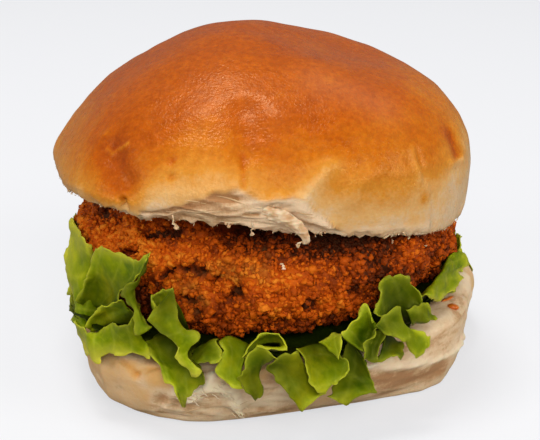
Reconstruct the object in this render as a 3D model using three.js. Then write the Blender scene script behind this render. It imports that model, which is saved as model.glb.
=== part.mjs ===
// A breaded mussel burger in a soft white roll: a glossy domed upper half, a thick crumbed patty,
// two frilled lettuce leaves and a lower half that it all stands on. Food that holds together when
// it is picked up, so every layer runs right through the stack.
//
// Millimetres, +Z up. The origin is the middle of the flat underside, and the front faces -Y.
// Angles run counter-clockwise from +X, seen from above, so the front is at -90 degrees.
import * as THREE from "three";

// ---- Driving dimensions ------------------------------------------------------------------------

const CONTACT_GAP = 0.3; // air between layers that only rest on each other

const LOWER_BUN = {
  halfWidth: 53,
  halfDepth: 50,
  squareness: 2.7, // 2 is an ellipse, and more is closer to a rectangle
  turn: 8, // degrees that the rounded square is turned on the table
  height: 18,
  taper: 7, // how much narrower the foot is than the widest line, all round
  // Where the roll was torn from its neighbours: [angle, how far it swells out, width in degrees].
  swellings: [
    [28, 3.2, 24],
    [-38, -3, 24],
    [-80, -1.2, 22],
    [178, -4.2, 40],
  ],
  footSwellings: [
    [-170, -4.5, 45],
    [-118, 1.5, 20],
    [-60, -3.4, 20],
    [-32, 4.6, 15],
  ],
  columns: 48,
};

const LEAF = {
  thickness: 0.9,
  pinch: 41, // radius at which a leaf stops lying flat under the patty
  rows: 5, // lines of facets from there to the margin
  steps: 4, // facets from the top of one fold to the bottom of the next
  overhang: 0.3, // how far a fold leans back over its neighbour
};

// The folds of each leaf's frilled margin, from the left round the front to the right:
// [angle, height over the leaf's flat part, distance from the middle].
// A high fold stands against the patty, and a low one hangs over the roll.
const INNER_FOLDS = [
  [-170, 22, 51],
  [-154, 7, 53],
  [-138, 24, 54.5],
  [-129, 20, 54],
  [-119, 25, 53],
  [-116, 12, 53],
  [-112, 17, 53.5],
  [-107, 5, 51.5],
  [-101, 6, 52],
  [-95, 3, 51.5],
  [-87, 6.5, 51.5],
  [-75, 3, 51.5],
  [-64, 11.5, 51.5],
  [-60, 7, 52],
  [-54, 17.5, 51.5],
  [-44, 11, 52.5],
  [-39, 7, 51.5],
  [-27, 16, 53],
  [-18, 6, 51],
];
const OUTER_FOLDS = [
  [-161, -3, 53],
  [-146, 4, 56],
  [-136, -4, 57],
  [-124, 10, 56],
  [-118, 2, 57],
  [-112, 8, 56],
  [-107, -6, 57],
  [-100, 2, 54.5],
  [-94, -7.5, 55.5],
  [-89, 5, 54.5],
  [-81, -9, 56.5],
  [-75, -5, 57],
  [-70, -10, 56.5],
  [-63, -7, 56],
  [-59, 6, 54],
  [-54, 10, 55],
  [-48, -2, 57],
  [-42, 5, 56.5],
  [-30, 8, 56],
  [-20, 2, 53],
];

const PATTY = {
  radius: 48.5,
  thickness: 27,
  flatRadius: 31,
  edgeRoundness: 2.2,
  columns: 52,
  rows: 8, // bands of facets round the edge
};

const LEAN = { lower: 2, upper: -1.2 }; // degrees; positive rises to the right

const UPPER_BUN = {
  halfWidth: 52.5,
  halfDepth: 50,
  squareness: 2.5,
  turn: 10,
  domeHeight: 39.4,
  shiftX: -2, // the whole half sits a little to the left
  peakX: -4,
  peakY: 2,
  // How far the cut edge curls up on the left and sinks on the right, as for the swellings above.
  edgeLift: [
    [188, 4.4, 60],
    [-15, -2.2, 50],
  ],
  waistDrop: [[180, 2.2, 50]], // how much lower the widest line is on the left
  shoulderDrop: [[-12, 2.2, 60]], // how much flatter the dome is to the right of its peak
  columns: 52,
  rows: 10, // bands of facets from the widest line to the peak
};

// Undersides of the layers, from the bottom up.
const OUTER_LEAF_FLOOR = LOWER_BUN.height + CONTACT_GAP;
const INNER_LEAF_FLOOR = OUTER_LEAF_FLOOR + LEAF.thickness + CONTACT_GAP;
const PATTY_FLOOR = INNER_LEAF_FLOOR + LEAF.thickness + CONTACT_GAP;
const UPPER_BUN_FLOOR = PATTY_FLOOR + PATTY.thickness + CONTACT_GAP;

const DEGREE = Math.PI / 180;

// ---- Shared shape functions --------------------------------------------------------------------

// Distance from the middle to a rounded rectangle's outline at an angle.
function roundedSquare(angle, { halfWidth, halfDepth, squareness, turn }) {
  const a = angle - turn * DEGREE;
  const x = Math.abs(Math.cos(a)) / halfWidth;
  const y = Math.abs(Math.sin(a)) / halfDepth;
  return (x ** squareness + y ** squareness) ** (-1 / squareness);
}

// The sum of smooth swellings, each [angle, height, width in degrees over which it fades].
function swell(angle, swellings) {
  return swellings.reduce((sum, [centre, height, width]) => {
    const off = ((angle / DEGREE - centre) % 360 + 540) % 360 - 180;
    return sum + height * Math.exp(-((off / width) ** 2));
  }, 0);
}

// Skins a closed solid over rings of points. The first and last rings are single points, and
// each ring runs counter-clockwise seen from the side that the last ring is on.
function skinned(rings) {
  const position = rings.flat().flatMap((p) => [p.x, p.y, p.z]);
  const index = [];
  const count = rings[1].length;
  const start = (row) => (row === 0 ? 0 : 1 + (row - 1) * count);
  for (let row = 0; row < rings.length - 1; row++) {
    for (let i = 0; i < count; i++) {
      const j = (i + 1) % count;
      const a = start(row);
      const b = start(row + 1);
      if (row === 0) index.push(a, b + j, b + i);
      else if (row === rings.length - 2) index.push(a + i, a + j, b);
      else index.push(a + i, a + j, b + j, a + i, b + j, b + i);
    }
  }
  return new THREE.BufferGeometry()
    .setAttribute("position", new THREE.Float32BufferAttribute(position, 3))
    .setIndex(index);
}

// One ring of a solid: place(angle) gives the point at that angle.
function ring(count, place) {
  return Array.from({ length: count }, (_, i) => place((i / count) * 2 * Math.PI));
}

function polar(radius, angle, z) {
  return new THREE.Vector3(radius * Math.cos(angle), radius * Math.sin(angle), z);
}

// The stack leans: lower layers rise to the right and upper ones sink, so the filling is a wedge.
// The underside stays flat on the table.
function leaned(p) {
  const filling = (p.z - LOWER_BUN.height) / (UPPER_BUN_FLOOR - LOWER_BUN.height);
  const share = Math.min(1, Math.max(0, filling));
  const slope = LEAN.lower + share * (LEAN.upper - LEAN.lower);
  p.z += Math.min(1, p.z / LOWER_BUN.height) * p.x * Math.tan(slope * DEGREE);
  return p;
}

function piece(name, rings, colour, roughness) {
  const material = new THREE.MeshStandardMaterial({ color: colour, roughness, metalness: 0 });
  const mesh = new THREE.Mesh(skinned(rings.map((row) => row.map(leaned))), material);
  mesh.name = name;
  return mesh;
}

// ---- Lower half of the roll ---------------------------------------------------------------------

// The widest outline, a little uneven all round.
function lowerBunRadius(angle) {
  const uneven = 0.8 * Math.cos(3 * angle + 0.6);
  return roundedSquare(angle, LOWER_BUN) + swell(angle, LOWER_BUN.swellings) + uneven;
}

function lowerBunFoot(angle) {
  return lowerBunRadius(angle) - LOWER_BUN.taper + swell(angle, LOWER_BUN.footSwellings);
}

// Share of the taper and share of the height, from the foot up to the cut face.
const LOWER_BUN_SIDE = [
  [0, 0],
  [0.3, 0.03],
  [0.62, 0.15],
  [0.85, 0.34],
  [0.97, 0.56],
  [1, 0.72],
  [0.9, 0.86],
  [0.62, 0.95],
  [0.2, 0.985],
];

function lowerBun() {
  const { height, columns } = LOWER_BUN;
  const side = ([out, up]) =>
    ring(columns, (a) => {
      const foot = lowerBunFoot(a);
      return polar(foot + out * (lowerBunRadius(a) - foot), a, up * height);
    });
  return [
    [polar(0, 0, 0)],
    ring(columns, (a) => polar(0.6 * lowerBunFoot(a), a, 0)),
    ...LOWER_BUN_SIDE.map(side),
    ring(columns, (a) => polar(0.5 * lowerBunRadius(a), a, height)),
    [polar(0, 0, height)],
  ];
}

// How far out a point at this height has to be to lie clear of the roll's rim and side.
function clearOfLowerBun(angle, z) {
  const below = Math.min(1, Math.max(0, (LOWER_BUN.height + 0.9 - z) / 3));
  return lowerBunRadius(angle) + 1.5 - 8 * (1 - below ** 0.35);
}

// ---- Patty --------------------------------------------------------------------------------------

function pattyRadius(angle) {
  return (
    PATTY.radius +
    0.9 * Math.cos(2 * angle + 0.5) +
    0.7 * Math.cos(5 * angle + 1.1) +
    0.4 * Math.cos(9 * angle)
  );
}

// The rounded edge: how far out the patty reaches at a share of its thickness, 0 to 1.
function pattyReach(angle, share) {
  const { flatRadius, edgeRoundness } = PATTY;
  const up = Math.min(1, Math.abs(2 * share - 1));
  const out = (1 - up ** edgeRoundness) ** (1 / edgeRoundness);
  return flatRadius + out * (pattyRadius(angle) - flatRadius);
}

function patty() {
  const { thickness, columns, rows } = PATTY;
  const edge = Array.from({ length: rows + 1 }, (_, row) => {
    const share = 0.5 - 0.5 * Math.cos((row / rows) * Math.PI);
    return ring(columns, (a) => polar(pattyReach(a, share), a, PATTY_FLOOR + share * thickness));
  });
  return [[polar(0, 0, PATTY_FLOOR)], ...edge, [polar(0, 0, PATTY_FLOOR + thickness)]];
}

// ---- Lettuce ------------------------------------------------------------------------------------

// Folds round the back, where the frill is even: one high and one low, count times.
function evenFolds(from, to, count, high, low, reach) {
  const step = (to - from) / (2 * count);
  return Array.from({ length: 2 * count }, (_, i) => [
    from + i * step,
    i % 2 === 0 ? high + 3 * Math.sin(2.3 * i) : low + 2 * Math.sin(1.7 * i),
    reach + Math.sin(i),
  ]);
}

// Points along the margin, as it swings from each fold to the next and leans over on the way.
function marginOf(folds) {
  const columns = [];
  folds.forEach(([angle, height, reach], i) => {
    const [nextAngle, nextHeight, nextReach] = folds[(i + 1) % folds.length];
    const turn = (nextAngle - angle + 360) % 360;
    for (let k = 0; k < LEAF.steps; k++) {
      const w = k / LEAF.steps;
      const swing = nextHeight < height ? w ** 0.75 : 1 - (1 - w) ** 0.75;
      columns.push({
        root: (angle + turn * w) * DEGREE,
        lean: LEAF.overhang * Math.sin(2 * Math.PI * w) * turn * DEGREE,
        height: height + swing * (nextHeight - height),
        reach: reach + swing * (nextReach - reach),
      });
    }
  });
  return columns;
}

function leaf(folds, floor, clearOf) {
  const { rows, pinch, thickness } = LEAF;
  const columns = marginOf(folds);
  const count = columns.length;
  const middle = Array.from({ length: rows }, (_, row) => {
    const t = row / (rows - 1);
    const fan = t ** 2;
    return columns.map(({ root, lean, height, reach }) => {
      const angle = root + lean * fan;
      const z = floor + thickness / 2 + height * fan;
      const out = pinch + (reach - pinch) * (1 - (1 - t) ** 2.2);
      return polar(row === 0 ? out : Math.max(out, clearOf(angle, z)), angle, z);
    });
  });
  const face = (side) =>
    middle.map((points, row) =>
      points.map((p, i) => {
        if (row === 0) return new THREE.Vector3(p.x, p.y, p.z + (side * thickness) / 2);
        const along = points[(i + 1) % count].clone().sub(points[(i + count - 1) % count]);
        const outward = middle[Math.min(row + 1, rows - 1)][i].clone().sub(middle[row - 1][i]);
        const normal = outward.cross(along).normalize();
        return p.clone().addScaledVector(normal, (side * thickness) / 2);
      }),
    );
  const top = floor + thickness;
  return [[polar(0, 0, floor)], ...face(-1), ...face(1).reverse(), [polar(0, 0, top)]];
}

// ---- Upper half of the roll ---------------------------------------------------------------------

function upperBunRadius(angle) {
  return roundedSquare(angle, UPPER_BUN) + 0.8 * Math.cos(3 * angle);
}

// Height of the cut edge, and of the widest line above it.
function upperBunEdge(angle) {
  return UPPER_BUN_FLOOR + CONTACT_GAP + swell(angle, UPPER_BUN.edgeLift);
}

function upperBunWaist(angle) {
  return upperBunEdge(angle) + 7.5 + 3.5 * Math.cos(angle) - swell(angle, UPPER_BUN.waistDrop);
}

// A point of the dome: turn goes from 0 at the widest line to 1 at the peak.
function domePoint(angle, turn) {
  const { domeHeight, peakX, peakY } = UPPER_BUN;
  const roundness = 1.78 + 0.32 * Math.cos(angle);
  const out = Math.cos((turn * Math.PI) / 2) ** (2 / roundness);
  const up = Math.sin((turn * Math.PI) / 2) ** (2 / roundness);
  const low = upperBunWaist(angle);
  const p = polar(out * upperBunRadius(angle), angle, low + up * (UPPER_BUN_FLOOR + domeHeight - low));
  p.x += peakX * up * up;
  p.y += peakY * up * up;
  p.z -= swell(angle, UPPER_BUN.shoulderDrop) * Math.sin(Math.PI * turn ** 3);
  return p;
}

function upperBun() {
  const { shiftX, domeHeight, peakX, peakY, columns, rows } = UPPER_BUN;
  const edgeRadius = (a) => upperBunRadius(a) - 2.2 + 1.2 * Math.cos(a);
  const cutFace = (share) =>
    ring(columns, (a) => polar(share * edgeRadius(a), a, UPPER_BUN_FLOOR + CONTACT_GAP));
  const dome = Array.from({ length: rows }, (_, row) => ring(columns, (a) => domePoint(a, row / rows)));
  const rings = [
    [polar(0, 0, UPPER_BUN_FLOOR)],
    cutFace(0.5),
    cutFace(0.8),
    ring(columns, (a) => polar(edgeRadius(a), a, upperBunEdge(a))),
    ring(columns, (a) => polar(upperBunRadius(a) - 0.4, a, 0.6 * upperBunEdge(a) + 0.4 * upperBunWaist(a))),
    ...dome,
    [new THREE.Vector3(peakX, peakY, UPPER_BUN_FLOOR + domeHeight)],
  ];
  rings.flat().forEach((p) => p.setX(p.x + shiftX));
  return rings;
}

// ---- The burger ---------------------------------------------------------------------------------

function pattyWall(angle, z) {
  const share = (z - PATTY_FLOOR) / PATTY.thickness;
  return share <= 0 ? 0 : pattyReach(angle, Math.min(share, 0.5)) + 1.5;
}

const innerFolds = [...INNER_FOLDS, ...evenFolds(-8, 176, 6, 13, 5, 50.5)];
const outerFolds = [...OUTER_FOLDS, ...evenFolds(-10, 184, 8, 4, -5, 53.5)];
const burger = new THREE.Group();
burger.add(
  piece("bun_bottom", lowerBun(), 0xcda878, 0.8),
  piece("lettuce_outer", leaf(outerFolds, OUTER_LEAF_FLOOR, clearOfLowerBun), 0x8a9a1e, 0.5),
  piece("lettuce_inner", leaf(innerFolds, INNER_LEAF_FLOOR, pattyWall), 0x8a9a1e, 0.5),
  piece("patty", patty(), 0xa8500f, 0.75),
  piece("bun_top", upperBun(), 0xc8742a, 0.35),
);

export default burger;
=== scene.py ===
import itertools
import math

import bpy
import numpy as np
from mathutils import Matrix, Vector
from mathutils.bvhtree import BVHTree


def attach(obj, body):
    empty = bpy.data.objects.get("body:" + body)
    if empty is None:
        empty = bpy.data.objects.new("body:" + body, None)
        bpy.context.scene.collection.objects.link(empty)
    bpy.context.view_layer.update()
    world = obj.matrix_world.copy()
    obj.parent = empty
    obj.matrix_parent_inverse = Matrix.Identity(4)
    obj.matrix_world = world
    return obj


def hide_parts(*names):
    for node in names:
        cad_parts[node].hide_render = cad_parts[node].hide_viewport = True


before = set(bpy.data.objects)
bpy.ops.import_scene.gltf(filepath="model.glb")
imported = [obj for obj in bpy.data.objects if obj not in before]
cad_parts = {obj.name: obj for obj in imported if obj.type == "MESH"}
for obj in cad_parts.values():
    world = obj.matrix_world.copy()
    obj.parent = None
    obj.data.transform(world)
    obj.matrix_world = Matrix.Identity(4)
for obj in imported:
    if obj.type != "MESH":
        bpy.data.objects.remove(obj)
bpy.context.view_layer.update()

# ---- Where it stands -----------------------------------------------------------------------------
# A plain pale surface that runs back without an edge. A soft light hangs over the burger, a broad
# one faces its front, two weaker ones stand at its sides, and the pale room fills in the rest.


def srgb(red, light_and_shade, blue):
    """A shader colour from the usual 0 to 255 screen values."""
    share = [value / 255 for value in (red, light_and_shade, blue)]
    linear = [c / 12.92 if c <= 0.04045 else ((c + 0.055) / 1.055) ** 2.4 for c in share]
    return (*linear, 1.0)


def placed(name, data, place, target=None):
    """Links a new object at a place, in metres, facing the target if there is one."""
    thing = bpy.data.objects.new(name, data)
    bpy.context.scene.collection.objects.link(thing)
    thing.location = place
    if target is not None:
        facing = Vector(target) - Vector(place)
        thing.rotation_euler = facing.to_track_quat("-Z", "Y").to_euler()
    return thing


def soft_light(name, place, target, width, power, colour):
    """A round studio light of a width in metres and a power in watts."""
    lamp = bpy.data.lights.new(name, "AREA")
    lamp.shape = "DISK"
    lamp.size = width
    lamp.energy = power
    lamp.color = colour
    return placed(name, lamp, place, target)


MIDDLE = (0.0015, 0, 0.0353)  # where the camera looks
CAMERA_DISTANCE = 0.33
CAMERA_RISE = math.radians(20)
CAMERA_LENS = 83

camera_data = bpy.data.cameras.new("camera")
camera_data.lens = CAMERA_LENS
camera = placed(
    "camera",
    camera_data,
    (
        MIDDLE[0],
        -CAMERA_DISTANCE * math.cos(CAMERA_RISE),
        MIDDLE[2] + CAMERA_DISTANCE * math.sin(CAMERA_RISE),
    ),
    MIDDLE,
)
bpy.context.scene.camera = camera
bpy.context.scene.view_settings.view_transform = "Standard"

soft_light("overhead", (-0.18, 0.1, 1.3), MIDDLE, 0.45, 9.5, (1.0, 0.95, 0.88))
soft_light("front", (0.1, -1.2, 0.75), MIDDLE, 0.8, 9.5, (1.0, 0.94, 0.84))
soft_light("right side", (1.15, -0.6, 0.65), MIDDLE, 0.6, 6.5, (1.0, 0.94, 0.84))
soft_light("left side", (-1.15, -0.6, 0.65), MIDDLE, 0.6, 4.5, (1.0, 0.94, 0.84))

world = bpy.data.worlds.new("room")
world.use_nodes = True
world.node_tree.nodes["Background"].inputs["Color"].default_value = srgb(244, 242, 238)
world.node_tree.nodes["Background"].inputs["Strength"].default_value = 0.24
bpy.context.scene.world = world

# The floor looks pale, but throws less light back up at the burger than a white one would.
floor_mesh = bpy.data.meshes.new("floor")
floor_mesh.from_pydata([(-3, -3, 0), (3, -3, 0), (3, 3, 0), (-3, 3, 0)], [], [(0, 1, 2, 3)])
floor = placed("floor", floor_mesh, (0, 0, 0))
floor_material = bpy.data.materials.new("floor")
floor_material.use_nodes = True
floor_tree = floor_material.node_tree
floor_pale = floor_tree.nodes["Principled BSDF"]
floor_pale.inputs["Base Color"].default_value = srgb(140, 143, 150)
floor_pale.inputs["Emission Color"].default_value = srgb(242, 243, 246)
floor_pale.inputs["Emission Strength"].default_value = 0.67
floor_pale.inputs["Roughness"].default_value = 0.9
floor_dull = floor_tree.nodes.new("ShaderNodeBsdfDiffuse")
floor_dull.inputs["Color"].default_value = srgb(150, 146, 140)
floor_seen = floor_tree.nodes.new("ShaderNodeLightPath")
floor_choice = floor_tree.nodes.new("ShaderNodeMixShader")
floor_tree.links.new(floor_seen.outputs["Is Camera Ray"], floor_choice.inputs[0])
floor_tree.links.new(floor_dull.outputs[0], floor_choice.inputs[1])
floor_tree.links.new(floor_pale.outputs[0], floor_choice.inputs[2])
floor_tree.links.new(floor_choice.outputs[0], floor_tree.nodes["Material Output"].inputs[0])
floor_mesh.materials.append(floor_material)

# ---- Lower half of the roll ----------------------------------------------------------------------
# The cut lower half of a soft white roll. Its left side is smooth pale skin with a crease or two;
# where it was torn from the next roll, at the front and on the right, fibrous white crumb shows.

MM = 0.001  # the scene is in metres
BREAD_SPACING = 0.66  # mm between the points of the finely divided bread


def made_fine(piece, spacing, rounds):
    """Gives a piece one closed, finely divided and rounded mesh, to be worked on point by point."""
    remesh = piece.modifiers.new("remesh", "REMESH")
    remesh.mode = "VOXEL"
    remesh.voxel_size = spacing * MM
    smooth = piece.modifiers.new("smooth", "SMOOTH")
    smooth.iterations = rounds
    bpy.context.view_layer.update()
    evaluated = piece.evaluated_get(bpy.context.evaluated_depsgraph_get())
    mesh = bpy.data.meshes.new_from_object(evaluated)
    piece.modifiers.clear()
    piece.data = mesh
    mesh.materials.clear()
    mesh.shade_smooth()
    return piece


def dense_copy(node, name, spacing, rounds):
    """A finely divided copy of one of the CAD solids."""
    return made_fine(placed(name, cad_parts[node].data.copy(), (0, 0, 0)), spacing, rounds)


def points_of(piece):
    """The piece's points in millimetres, one to a row."""
    flat = np.zeros(len(piece.data.vertices) * 3)
    piece.data.vertices.foreach_get("co", flat)
    return flat.reshape(-1, 3) / MM


def normals_of(piece):
    """The direction that the surface faces at each point."""
    flat = np.zeros(len(piece.data.vertices) * 3)
    piece.data.vertex_normals.foreach_get("vector", flat)
    return flat.reshape(-1, 3)


def move_to(piece, points):
    """Puts the piece's points at new places, in millimetres."""
    piece.data.vertices.foreach_set("co", (points * MM).ravel())
    piece.data.update()


def paint(piece, name, values):
    """Keeps one number for each point, which the piece's material reads by name."""
    layer = piece.data.attributes.new(name, "FLOAT", "POINT")
    layer.data.foreach_set("value", np.asarray(values, np.float32))


def bearing(points):
    """The angle of each point round the burger, in degrees, with the front at -90."""
    return np.degrees(np.arctan2(points[:, 1], points[:, 0]))


def near(value, centre, width):
    """1 at the centre, fading smoothly to 0 over the width on each side."""
    return np.exp(-(((value - centre) / width) ** 2))


def near_bearing(angle, centre, width):
    """1 at a bearing round the burger, fading to 0 on each side, also across the back."""
    return near((angle - centre + 180) % 360 - 180, 0, width)


def near_line(points, normals, corners, width):
    """1 on the surface along a line through the corners, fading over the width on each side."""
    corners = np.array(corners, float)
    if len(corners) == 1:
        corners = np.vstack([corners, corners + 0.01])
    closest = np.full(len(points), np.inf)
    for start, end in zip(corners[:-1], corners[1:]):
        run = end - start
        share = np.clip(((points - start) @ run) / (run @ run), 0, 1)
        gap = points - start - share[:, None] * run
        depth = (gap * normals).sum(axis=1)
        aside = (gap**2).sum(axis=1) - depth**2 + np.maximum(np.abs(depth) - 2, 0) ** 2
        closest = np.minimum(closest, aside)
    return np.exp(-closest / width**2)


def rise(value, low, high):
    """Climbs smoothly from 0 at low to 1 at high."""
    t = np.clip((value - low) / (high - low), 0, 1)
    return t * t * (3 - 2 * t)


def lattice(cell, seed):
    """Repeatable numbers from -1 to 1, one for each whole-numbered place."""
    code = cell[:, 0] * 73856093 ^ cell[:, 1] * 19349663 ^ cell[:, 2] * 83492791 ^ seed * 2654435761
    code = (code ^ (code >> 15)) * 2246822519 & 0xFFFFFFFF
    code = (code ^ (code >> 13)) * 3266489917 & 0xFFFFFFFF
    return ((code ^ (code >> 16)) & 0xFFFF) / 32767.5 - 1


def lumps(points, size, seed, octaves=1):
    """Smooth unevenness from about -1 to 1, with lumps of the given size in millimetres."""
    total = np.zeros(len(points))
    strength = 1.0
    for octave in range(octaves):
        scaled = points / (size / 2**octave) + 17.3 * octave
        cell = np.floor(scaled).astype(np.int64)
        part = scaled - cell
        part = part * part * (3 - 2 * part)
        for corner in np.ndindex(2, 2, 2):
            side = np.array(corner)
            weight = np.prod(np.where(side, part, 1 - part), axis=1)
            total += strength * weight * lattice(cell + side, seed + octave)
        strength *= 0.5
    return total * 1.4


def fibres(points, length, thickness, seed, octaves=2):
    """Unevenness drawn out round the burger, like torn bread."""
    angle = np.radians(bearing(points))
    radius = np.hypot(points[:, 0], points[:, 1])
    wander = 1.2 * lumps(points, 8, seed + 50)
    spread = np.stack(
        [angle * 50 / length, (points[:, 2] + wander) / thickness, radius / (2 * thickness)], axis=1
    )
    return lumps(spread, 1, seed, octaves)


def add(tree, kind, settings=None, **inputs):
    """Adds a shader node. Each input, with _ for a space, is a value or another node's output."""
    node = tree.nodes.new(kind)
    for key, value in (settings or {}).items():
        setattr(node, key, value)
    connect(tree, node, **inputs)
    return node


def feed(tree, socket, value):
    """Wires another node's output to a socket, or sets a plain value on it."""
    if isinstance(value, bpy.types.NodeSocket):
        tree.links.new(value, socket)
    else:
        socket.default_value = value


def connect(tree, node, **inputs):
    """Feeds a node's sockets by name, with _ for a space."""
    for key, value in inputs.items():
        feed(tree, node.inputs[key.replace("_", " ")], value)


def reckon(tree, operation, *values):
    """The output of a maths node."""
    node = tree.nodes.new("ShaderNodeMath")
    node.operation = operation
    for socket, value in zip(node.inputs, values):
        feed(tree, socket, value)
    return node.outputs[0]


def mixed(tree, factor, first, second, blend="MIX"):
    """The output of a colour mix."""
    node = tree.nodes.new("ShaderNodeMix")
    node.data_type = "RGBA"
    node.blend_type = blend
    feed(tree, node.inputs[0], factor)
    feed(tree, node.inputs[6], first)
    feed(tree, node.inputs[7], second)
    return node.outputs[2]


def ramp(tree, factor, *stops):
    """The output of a colour ramp through (place, colour) stops."""
    node = tree.nodes.new("ShaderNodeValToRGB")
    tree.links.new(factor, node.inputs[0])
    band = node.color_ramp
    while len(band.elements) < len(stops):
        band.elements.new(1.0)
    for element, (place, colour) in zip(band.elements, stops):
        element.position = place
        element.color = colour
    return node.outputs[0]


def grain(tree, scale, detail=4, roughness=0.55, stretch=(1, 1, 1)):
    """Noise fixed to the object, with about this many patches to a metre."""
    place = add(tree, "ShaderNodeTexCoord").outputs["Object"]
    place = add(tree, "ShaderNodeMapping", Vector=place, Scale=stretch).outputs[0]
    noise = add(tree, "ShaderNodeTexNoise", Vector=place, Scale=scale, Detail=detail, Roughness=roughness)
    return noise.outputs["Fac"]


def painted(tree, name):
    """The numbers that paint kept for each point."""
    return add(tree, "ShaderNodeAttribute", {"attribute_name": name}).outputs["Fac"]


def new_material(name):
    """A new material, its node tree and its main shader."""
    material = bpy.data.materials.new(name)
    material.use_nodes = True
    return material, material.node_tree, material.node_tree.nodes["Principled BSDF"]


def bump(tree, height, distance, strength=1.0, normal=None):
    """Fine relief from a height, over a distance in millimetres."""
    node = add(tree, "ShaderNodeBump", Height=height, Distance=distance * MM, Strength=strength)
    if normal is not None:
        tree.links.new(normal, node.inputs["Normal"])
    return node.outputs["Normal"]


def new_group(name, inputs, outputs):
    """An empty shader node group with named sockets, each given as (name, kind, value)."""
    group = bpy.data.node_groups.new(name, "ShaderNodeTree")
    for title, kind, value in inputs:
        socket = group.interface.new_socket(title, in_out="INPUT", socket_type=kind)
        socket.default_value = value
    for title, kind in outputs:
        group.interface.new_socket(title, in_out="OUTPUT", socket_type=kind)
    return group, group.nodes.new("NodeGroupInput").outputs, group.nodes.new("NodeGroupOutput")


def use_group(tree, group, **inputs):
    """Puts a node group in a material with its own values, and gives the group's outputs."""
    node = tree.nodes.new("ShaderNodeGroup")
    node.node_tree = group
    connect(tree, node, **inputs)
    return node.outputs


def dressed(piece, material, slot, *nodes):
    """Gives a piece its material, sets it on the burger and hides the CAD nodes it stands for."""
    piece.data.materials.clear()
    piece.data.materials.append(material)
    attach(piece, "root")
    if nodes:
        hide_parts(*nodes)


# Torn bread: soft pale crumb drawn out in strands, with fine pores. Its hollows are painted browner
# and its raised strands paler, as painted shade and light.
torn_bread, given, result = new_group(
    "torn_bread",
    (
        ("Pale", "NodeSocketColor", srgb(240, 218, 188)),
        ("Middle", "NodeSocketColor", srgb(216, 184, 146)),
        ("Hollow", "NodeSocketColor", srgb(180, 138, 100)),
        ("Depth", "NodeSocketFloat", 0.5),
    ),
    (("Color", "NodeSocketColor"), ("Height", "NodeSocketFloat")),
)
strand = grain(torn_bread, 380, 4, 0.6, (0.4, 0.4, 1.7))
pore = grain(torn_bread, 1300, 4, 0.65)
patch = grain(torn_bread, 110, 3, 0.5)
level = reckon(torn_bread, "MULTIPLY_ADD", strand, 0.5, reckon(torn_bread, "MULTIPLY", pore, 0.3))
level = reckon(torn_bread, "MULTIPLY_ADD", patch, 0.5, reckon(torn_bread, "SUBTRACT", level, 0.15))
level = reckon(torn_bread, "ADD", level, reckon(torn_bread, "SUBTRACT", given["Depth"], 0.5))
# Painted shade and light: low places in the relief turn browner, high ones paler.
in_shaded_hollow = ramp(torn_bread, level, (0.3, (0, 0, 0, 1)), (0.52, (1, 1, 1, 1)))
in_light = ramp(torn_bread, level, (0.46, (0, 0, 0, 1)), (0.72, (1, 1, 1, 1)))
colour = mixed(torn_bread, in_shaded_hollow, given["Hollow"], given["Middle"])
colour = mixed(torn_bread, in_light, colour, given["Pale"])
connect(torn_bread, result, Color=colour, Height=level)

# Baked skin: cream where it hardly browned, through amber, to orange-brown.
baked_skin, given, result = new_group(
    "baked_skin",
    (("Bake", "NodeSocketFloat", 0.5), ("Unevenness", "NodeSocketFloat", 0.2)),
    (("Color", "NodeSocketColor"), ("Height", "NodeSocketFloat"), ("Roughness", "NodeSocketFloat")),
)
blotch = reckon(baked_skin, "SUBTRACT", grain(baked_skin, 170, 5, 0.6), 0.5)
freckle = reckon(baked_skin, "SUBTRACT", grain(baked_skin, 1000, 3, 0.6), 0.5)
shift = reckon(baked_skin, "MULTIPLY_ADD", freckle, 0.6, blotch)
level = reckon(baked_skin, "MULTIPLY_ADD", shift, given["Unevenness"], given["Bake"])
colour = ramp(
    baked_skin, level,
    (0.0, srgb(220, 194, 162)), (0.12, srgb(222, 176, 114)), (0.34, srgb(208, 138, 48)),
    (0.56, srgb(193, 107, 16)), (0.72, srgb(180, 86, 6)), (1.0, srgb(158, 66, 5)),
)
mottle = ramp(
    baked_skin, grain(baked_skin, 650, 4, 0.65), (0.36, (0.83, 0.79, 0.74, 1)), (0.64, (1.1, 1.13, 1.17, 1)),
)
most_baked = reckon(baked_skin, "MULTIPLY", given["Bake"], 4.5)
mottled = reckon(baked_skin, "MULTIPLY", given["Unevenness"], most_baked)
colour = mixed(baked_skin, mottled, colour, mottle, "MULTIPLY")
fine_wrinkle = reckon(baked_skin, "MULTIPLY", grain(baked_skin, 1500, 2, 0.5), 0.65)
wrinkle = reckon(baked_skin, "MULTIPLY_ADD", grain(baked_skin, 480, 3, 0.6), 0.45, fine_wrinkle)
rough = reckon(baked_skin, "MULTIPLY_ADD", grain(baked_skin, 420, 3, 0.6), 0.36, 0.14)
connect(baked_skin, result, Color=colour, Height=wrinkle, Roughness=rough)

# Where the marks on its sides run, in millimetres.
CREASE = [(-33.5, -42.3, 15.5), (-32.1, -44.7, 14.8), (-30.5, -46.5, 13.0)]
SHORT_CREASE = [(-24.8, -46.7, 15.8), (-28.6, -47, 14.6), (-30.6, -46.5, 13.4)]
PALE_RIDGE = [(-20.5, -50, 10.5), (-22, -49.2, 8.1), (-23.5, -48.2, 5.2)]
TUFT = [
    (-18.5, -49.9, 8.6), (-16.3, -50.2, 9.7), (-14.1, -50.5, 11.2), (-11.8, -50.4, 11.7),
    (-9.7, -50.2, 11.0), (-7.9, -49.9, 9.6), (-6.5, -49.3, 7.1), (-6.3, -48.5, 5.2),
]
TUFT_ROOT = [(-12, -49.8, 15.2), (-12.7, -50.3, 13.7), (-13.4, -50.6, 12.0)]
BROWN_FRONT = [(-22, -49, 6.0), (-15, -49.6, 7.0), (-10, -49.2, 6.5)]
LIGHT_FRONT = [(-8, -49, 5.5), (3, -48, 5.5)]
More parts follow.
